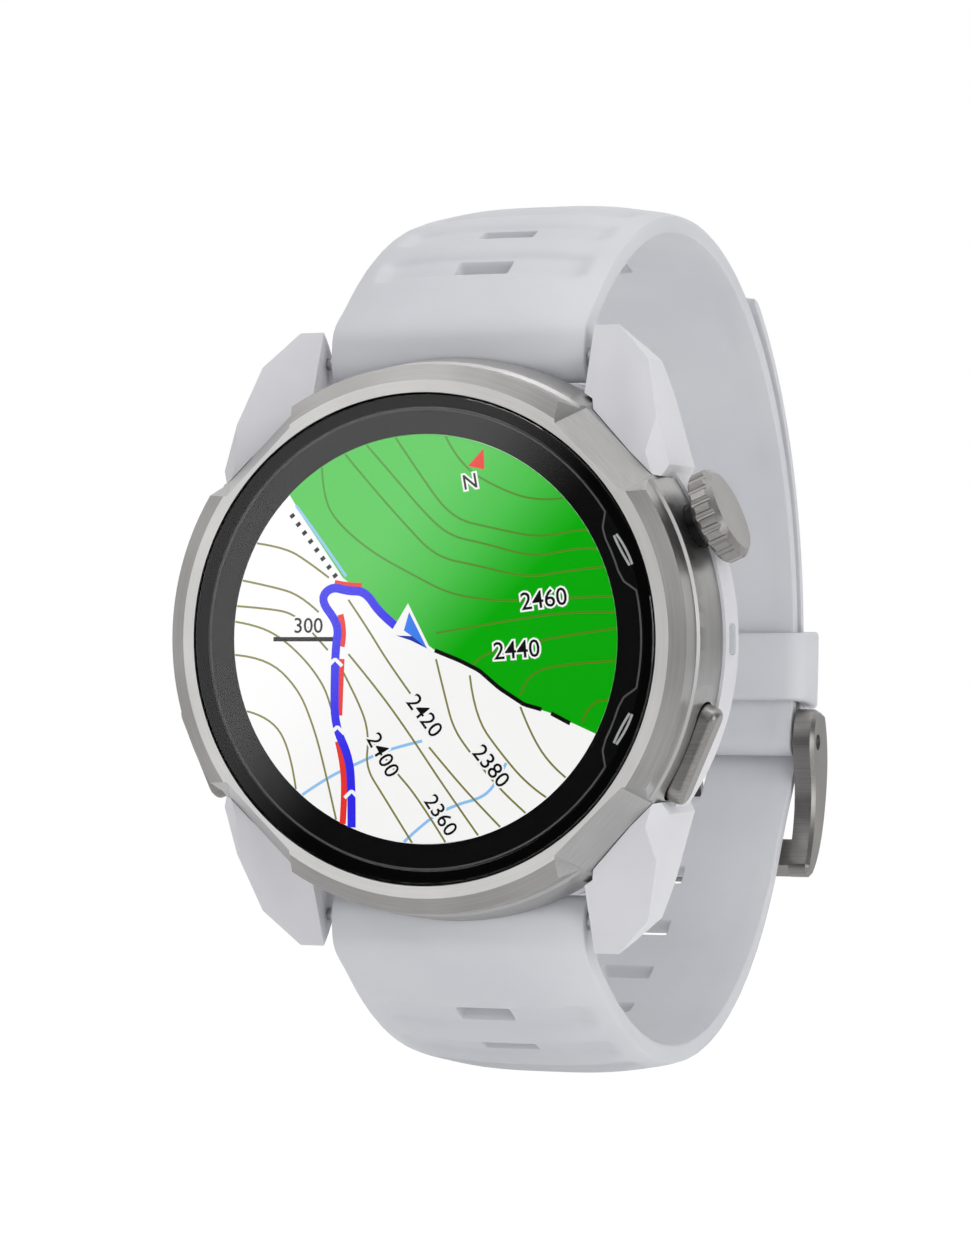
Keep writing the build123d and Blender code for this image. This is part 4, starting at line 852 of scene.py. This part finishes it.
open_contours = [
    [rim(151.5), (-12.0, 7.5), (-9.9, 6.3), (-8.1, 5.0)],
    [rim(163), (-13.1, 4.3), (-10.6, 3.6), (-9.0, 2.2)],
    [rim(170.5), (-13.4, 2.5), (-11.2, 2.1), (-9.4, 0.4), (-8.2, -0.9)],
    [rim(175), (-14.2, 1.1), (-11.8, -0.2), (-9.4, -2.5), (-7.9, -5.0), (-7.2, -8.6)],
    [rim(-175.5), (-13.6, -1.5), (-10.8, -4.0), (-9.5, -7.0), (-8.6, -10.0), rim(-117)],
    [rim(-159), (-13.2, -6.4), (-11.5, -9.0), rim(-132)],
    [(-6.9, -2.6), (-5.2, -5.6), (-4.6, -7.9), (-4.9, -10.4), (-3.4, -12.6), rim(-93)],
    [(-6.4, -1.2), (-3.9, -4.0), (-1.2, -7.5), (1.2, -10.9), (3.2, -13.6), rim(-73)],
    [(-6.4, 3.2), (-4.8, 1.0), (-3.0, -1.8), (-1.0, -4.4)],
    [(1.2, -1.6), (2.0, -4.7), (2.7, -7.2), (4.2, -9.2), (6.8, -12.2), rim(-57.5)],
    [(4.1, -2.9), (4.5, -6.2), (6.8, -9.2), (9.0, -11.6), rim(-50)],
    [(8.4, -5.4), (9.2, -7.4), (10.8, -9.9), rim(-42)],
    [(0.6, -8.7), (3.0, -11.4), (5.2, -13.6), rim(-66)],
    [(-4.2, -8.4), (-2.4, -10.6), (-0.4, -12.7), rim(-83)],
]
ink_lines("map_open_contours", open_contours, CONTOUR_WIDE, open_line_ink, layer(2))
ink_lines("map_forest_edge", [[(1.1, -0.9), (3.2, -1.7), (4.9, -2.5), (6.6, -3.9), (8.7, -5.2),
                               (10.2, -5.6)], [(11.0, -5.9), (12.6, -6.7)]],
          EDGE_WIDE, black_ink, layer(3), 2)
dash_start, dash_end, dash_count = Vector((-11.5, 10.3)), Vector((-7.2, 4.7)), 8
dashes = []
for count in range(dash_count):
    dashes.append([tuple(dash_start.lerp(dash_end, count / dash_count + shift))
                   for shift in (0.02, 0.065)])
ink_lines("map_boundary_dashes", dashes, DASH_WIDE, black_ink, layer(3), 2)
route = [rim(-111.8), (-6.1, -12.3), (-6.3, -9.6), (-7.6, -7.0), (-7.6, -3.6), (-7.5, -0.6),
         (-7.2, 1.2), (-8.9, 3.2), (-7.9, 4.3), (-6.4, 3.9), (-4.9, 3.9), (-3.6, 2.0), (-1.9, 0.8)]
ink_lines("map_route_red", [[(-6.9, -15.0), (-6.7, -12.4), (-6.9, -9.8), (-7.3, -8.3)],
                            [(-7.2, -6.2), (-7.1, -3.6), (-7.0, -1.6)],
                            [(-7.0, -0.6), (-6.7, 0.6), (-7.1, 2.0)],
                            [(-7.6, 4.55), (-6.4, 4.3), (-5.2, 4.3)]], RED_WIDE, red_ink, layer(3))
ink_lines("map_route_blue", [route], ROUTE_WIDE, route_ink, layer(4))
MARK_HALF, MARK_LOW, MARK_TOP = 0.62, 0.28, 0.3
marks = []
for x, y in ((-7.55, -1.9), (-7.35, -7.4), (-6.1, -12.6)):
    marks.append([(x - MARK_HALF, y - MARK_LOW), (x, y + MARK_TOP), (x + MARK_HALF, y - MARK_LOW)])
ink_lines("map_route_marks", marks, MARK_WIDE, white_ink, layer(5), 2)
ink_lines("map_scale_bar", [[(-13.0, 0.0), (-7.6, 0.0)]], BAR_WIDE, black_ink, layer(3), 2)
arrow_tip, arrow_notch = (-1.1, 2.2), (-0.85, 0.25)
arrow_left, arrow_right = (-2.25, 0.3), (0.45, -0.75)
ink_shapes("cursor_outline", [[(-1.2, 2.9), (0.95, -1.2), (-0.95, -0.25), (-2.95, 0.15)]],
           white_ink, layer(5))
ink_shapes("cursor_light", [[arrow_tip, arrow_right, arrow_notch]], cursor_light_ink, layer(6))
ink_shapes("cursor_dark", [[arrow_right, (-0.95, -0.1), arrow_left, arrow_notch]],
           cursor_dark_ink, layer(6))
ink_shapes("cursor_side", [[arrow_tip, arrow_notch, (-1.55, 0.7)]], cursor_light_ink, layer(6))
ink_shapes("north_mark", [[(5.3, 15.3), (3.95, 13.9), (5.35, 13.6)]], red_ink, layer(5))
# Each figure's name, its signs, its place, its height and its turn in degrees.
figures = [("north", "N", (4.15, 12.6), 1.7, 10), ("bar", "300", (-9.9, 1.05), 1.75, 0),
           ("high", "2460", (10.4, 3.15), 2.0, 7), ("low", "2440", (8.1, -0.9), 2.0, 4),
           ("slope_a", "2420", (0.2, -6.2), 1.9, -52), ("slope_b", "2400", (-3.4, -9.4), 1.9, -60),
           ("slope_c", "2380", (5.9, -10.2), 1.9, -50), ("slope_d", "2360", (1.6, -14.2), 1.8, -55)]
for name, words, place, size, turn in figures:
    ink_number(f"figure_outline_{name}", words, place, size, turn, white_ink, layer(5),
               OUTLINE_WIDEN)
    ink_number(f"figure_{name}", words, place, size, turn, black_ink, layer(6), FIGURE_WIDEN)

# ---- print on the back of the glass: a hairline ring, and strokes by the crown and the button ----
PRINT_BACK = LENS_BACK + 0.008
HAIRLINE_R, HAIRLINE_IN, HAIRLINE_WIDE = 18.55, 17.5, 0.16
DIP_AT, DIP_HALF, DIP_FADE = 22.5, 6.5, 3.5
STROKE_R, STROKE_AT, STROKE_HALF, STROKE_WIDE = 18.5, 22.6, 4.2, 0.2
# The strokes of a pair lie apart by twice this at their middle, and run closer at their ends.
STROKE_APART, STROKE_CLOSE, STROKE_LEAN = 0.28, 0.4, 0.15
# A thin, flat grey on the black border.
print_grey = moulded("screen_printed_grey_ink", "#6A6A6E", "#5C5C60",
                     grain=0.2, depth=0.002, roughness=0.5)
# A clean white, the brightest thing on the border.
print_white = moulded("screen_printed_white_ink", "#E8E8EA", "#DCDCDE",
                      grain=0.2, depth=0.002, roughness=0.5)
hairline = []
for angle in range(0, 360, 3):
    beside = min(abs(angle - DIP_AT), abs(angle - (360 - DIP_AT)))
    dip = 1 - smooth_step((beside - DIP_HALF) / DIP_FADE)
    hairline.append(rim(angle, HAIRLINE_R - (HAIRLINE_R - HAIRLINE_IN) * dip))
ink_lines("glass_print_ring", [hairline + hairline[:1]], HAIRLINE_WIDE, print_grey, PRINT_BACK, 2)
strokes = []
for side in (1, -1):
    for shift in (-STROKE_APART, STROKE_APART):
        end_r = STROKE_R + shift * STROKE_CLOSE
        strokes.append([rim(side * (STROKE_AT + STROKE_HALF), end_r - STROKE_LEAN),
                        rim(side * STROKE_AT, STROKE_R + shift),
                        rim(side * (STROKE_AT - STROKE_HALF), end_r + STROKE_LEAN)])
ink_lines("glass_print_strokes", strokes, STROKE_WIDE, print_white, PRINT_BACK)

# ---- stage and light ----
FLOOR_HALF = 300.0
FLOOR_CLEAR = 0.2
# The floor is matt and glows a little, as a light table does, which keeps the underside pale.
TABLE_GLOW = 0.26
# The camera sees the floor as white for this share, and the rest keeps the shadow. Metal and glass
# see it at part of that strength.
FLOOR_WHITE, FLOOR_SHARE, FLOOR_IN_METAL = 1.06, 0.92, 0.3
floor_bm = bmesh.new()
bmesh.ops.create_grid(floor_bm, x_segments=1, y_segments=1, size=FLOOR_HALF)
floor_mesh = mesh_of(floor_bm)
floor_mesh.transform(Matrix.Translation((0, 0, cad_low.z - FLOOR_CLEAR * MM)))
table, table_out = new_material("pale_studio_floor")
table_ray = add_node(table, "ShaderNodeLightPath")
white = add_node(table, "ShaderNodeEmission",
                 [("Color", srgb("#FFFFFF")), ("Strength", FLOOR_WHITE)])
matt = add_node(table, "ShaderNodeBsdfDiffuse", [("Color", srgb("#F2F2F2"))])
glow = add_node(table, "ShaderNodeEmission", [("Color", srgb("#FFFFFF")), ("Strength", TABLE_GLOW)])
lit = add_node(table, "ShaderNodeAddShader",
               [(0, matt.outputs["BSDF"]), (1, glow.outputs["Emission"])])
bounced = add_node(table, "ShaderNodeMath", [(0, table_ray.outputs["Is Glossy Ray"]),
                                             (1, table_ray.outputs["Is Transmission Ray"])],
                   operation="MAXIMUM")
weaker = add_node(table, "ShaderNodeMath", [(0, bounced.outputs["Value"]), (1, FLOOR_IN_METAL)],
                  operation="MULTIPLY")
direct = add_node(table, "ShaderNodeMath", [(0, table_ray.outputs["Is Camera Ray"]),
                                            (1, weaker.outputs["Value"])], operation="MAXIMUM")
share = add_node(table, "ShaderNodeMath", [(0, direct.outputs["Value"]), (1, FLOOR_SHARE)],
                 operation="MULTIPLY")
floor_look = add_node(table, "ShaderNodeMixShader", [("Fac", share.outputs["Value"]),
                                                     (1, lit.outputs["Shader"]),
                                                     (2, white.outputs["Emission"])])
table.node_tree.links.new(floor_look.outputs["Shader"], table_out.inputs["Surface"])
floor_mesh.materials.append(table)
floor = bpy.data.objects.new("floor", floor_mesh)
bpy.context.scene.collection.objects.link(floor)

# The room is one even fill. Metal and glass see two white cards in it, to the upper left and
# overhead at the back, each by its direction and where its edge starts and ends, and the rest
# nearly dark.
FILL = 0.36
ROOM_DARK = 0.05
CARDS = (((-0.8, 0.0, 0.6), 0.276, 0.308), ((0.0, 0.6, 0.8), 0.25, 0.75))
room = bpy.data.worlds.new("studio")
bpy.context.scene.world = room
room.use_nodes = True
room.node_tree.nodes.clear()
room_out = add_node(room, "ShaderNodeOutputWorld")
room_ray = add_node(room, "ShaderNodeLightPath")
toward = add_node(room, "ShaderNodeTexCoord").outputs["Generated"]
cards = []
for way, start, end in CARDS:
    facing = add_node(room, "ShaderNodeVectorMath", [(0, toward), (1, way)],
                      operation="DOT_PRODUCT").outputs["Value"]
    cards.append(add_node(room, "ShaderNodeMapRange",
                          [("Value", facing), ("From Min", start), ("From Max", end),
                           ("To Min", ROOM_DARK), ("To Max", 1.0)],
                          interpolation_type="SMOOTHSTEP").outputs["Result"])
brighter = add_node(room, "ShaderNodeMath", list(enumerate(cards)), operation="MAXIMUM")
fill = add_node(room, "ShaderNodeBackground", [("Color", srgb("#FAFAFF")), ("Strength", FILL)])
mirrored = add_node(room, "ShaderNodeBackground", [("Color", srgb("#FFFFFF")),
                                                   ("Strength", brighter.outputs["Value"])])
backdrop = add_node(room, "ShaderNodeBackground", [("Color", srgb("#FFFFFF")), ("Strength", 1.0)])
polished = add_node(room, "ShaderNodeMath", [(0, room_ray.outputs["Is Glossy Ray"]),
                                             (1, room_ray.outputs["Is Transmission Ray"])],
                    operation="MAXIMUM")
around = add_node(room, "ShaderNodeMixShader", [("Fac", polished.outputs["Value"]),
                                                (1, fill.outputs["Background"]),
                                                (2, mirrored.outputs["Background"])])
behind = add_node(room, "ShaderNodeMixShader", [("Fac", room_ray.outputs["Is Camera Ray"]),
                                                (1, around.outputs["Shader"]),
                                                (2, backdrop.outputs["Background"])])
room.node_tree.links.new(behind.outputs["Shader"], room_out.inputs["Surface"])


def soft_box(name, place, aim_at, width, height, power):
    """A soft lamp: its place, what it faces, its size in mm and its power in watts."""
    lamp = bpy.data.lights.new(name, "AREA")
    lamp.shape = "RECTANGLE"
    lamp.size, lamp.size_y, lamp.energy = width * MM, height * MM, power
    holder = bpy.data.objects.new(name, lamp)
    holder.location = Vector(place) * MM
    facing = (Vector(aim_at) - Vector(place)) * MM
    holder.rotation_euler = facing.to_track_quat("-Z", "Y").to_euler()
    bpy.context.scene.collection.objects.link(holder)


soft_box("key_light", (-320, -420, 620), (0, 10, 0), 500, 500, 0.6)
soft_box("right_light", (460, -400, 260), (0, 20, 0), 300, 400, 0.7)
soft_box("top_light", (40, 40, 690), (0, 10, 20), 400, 300, 1.5)
soft_box("front_light", (160, -640, 0), (0, 0, -20), 300, 300, 0.2)
soft_box("side_light", (620, -200, 0), (0, 20, -10), 300, 300, 0.8)

bpy.context.scene.view_settings.view_transform = "Standard"
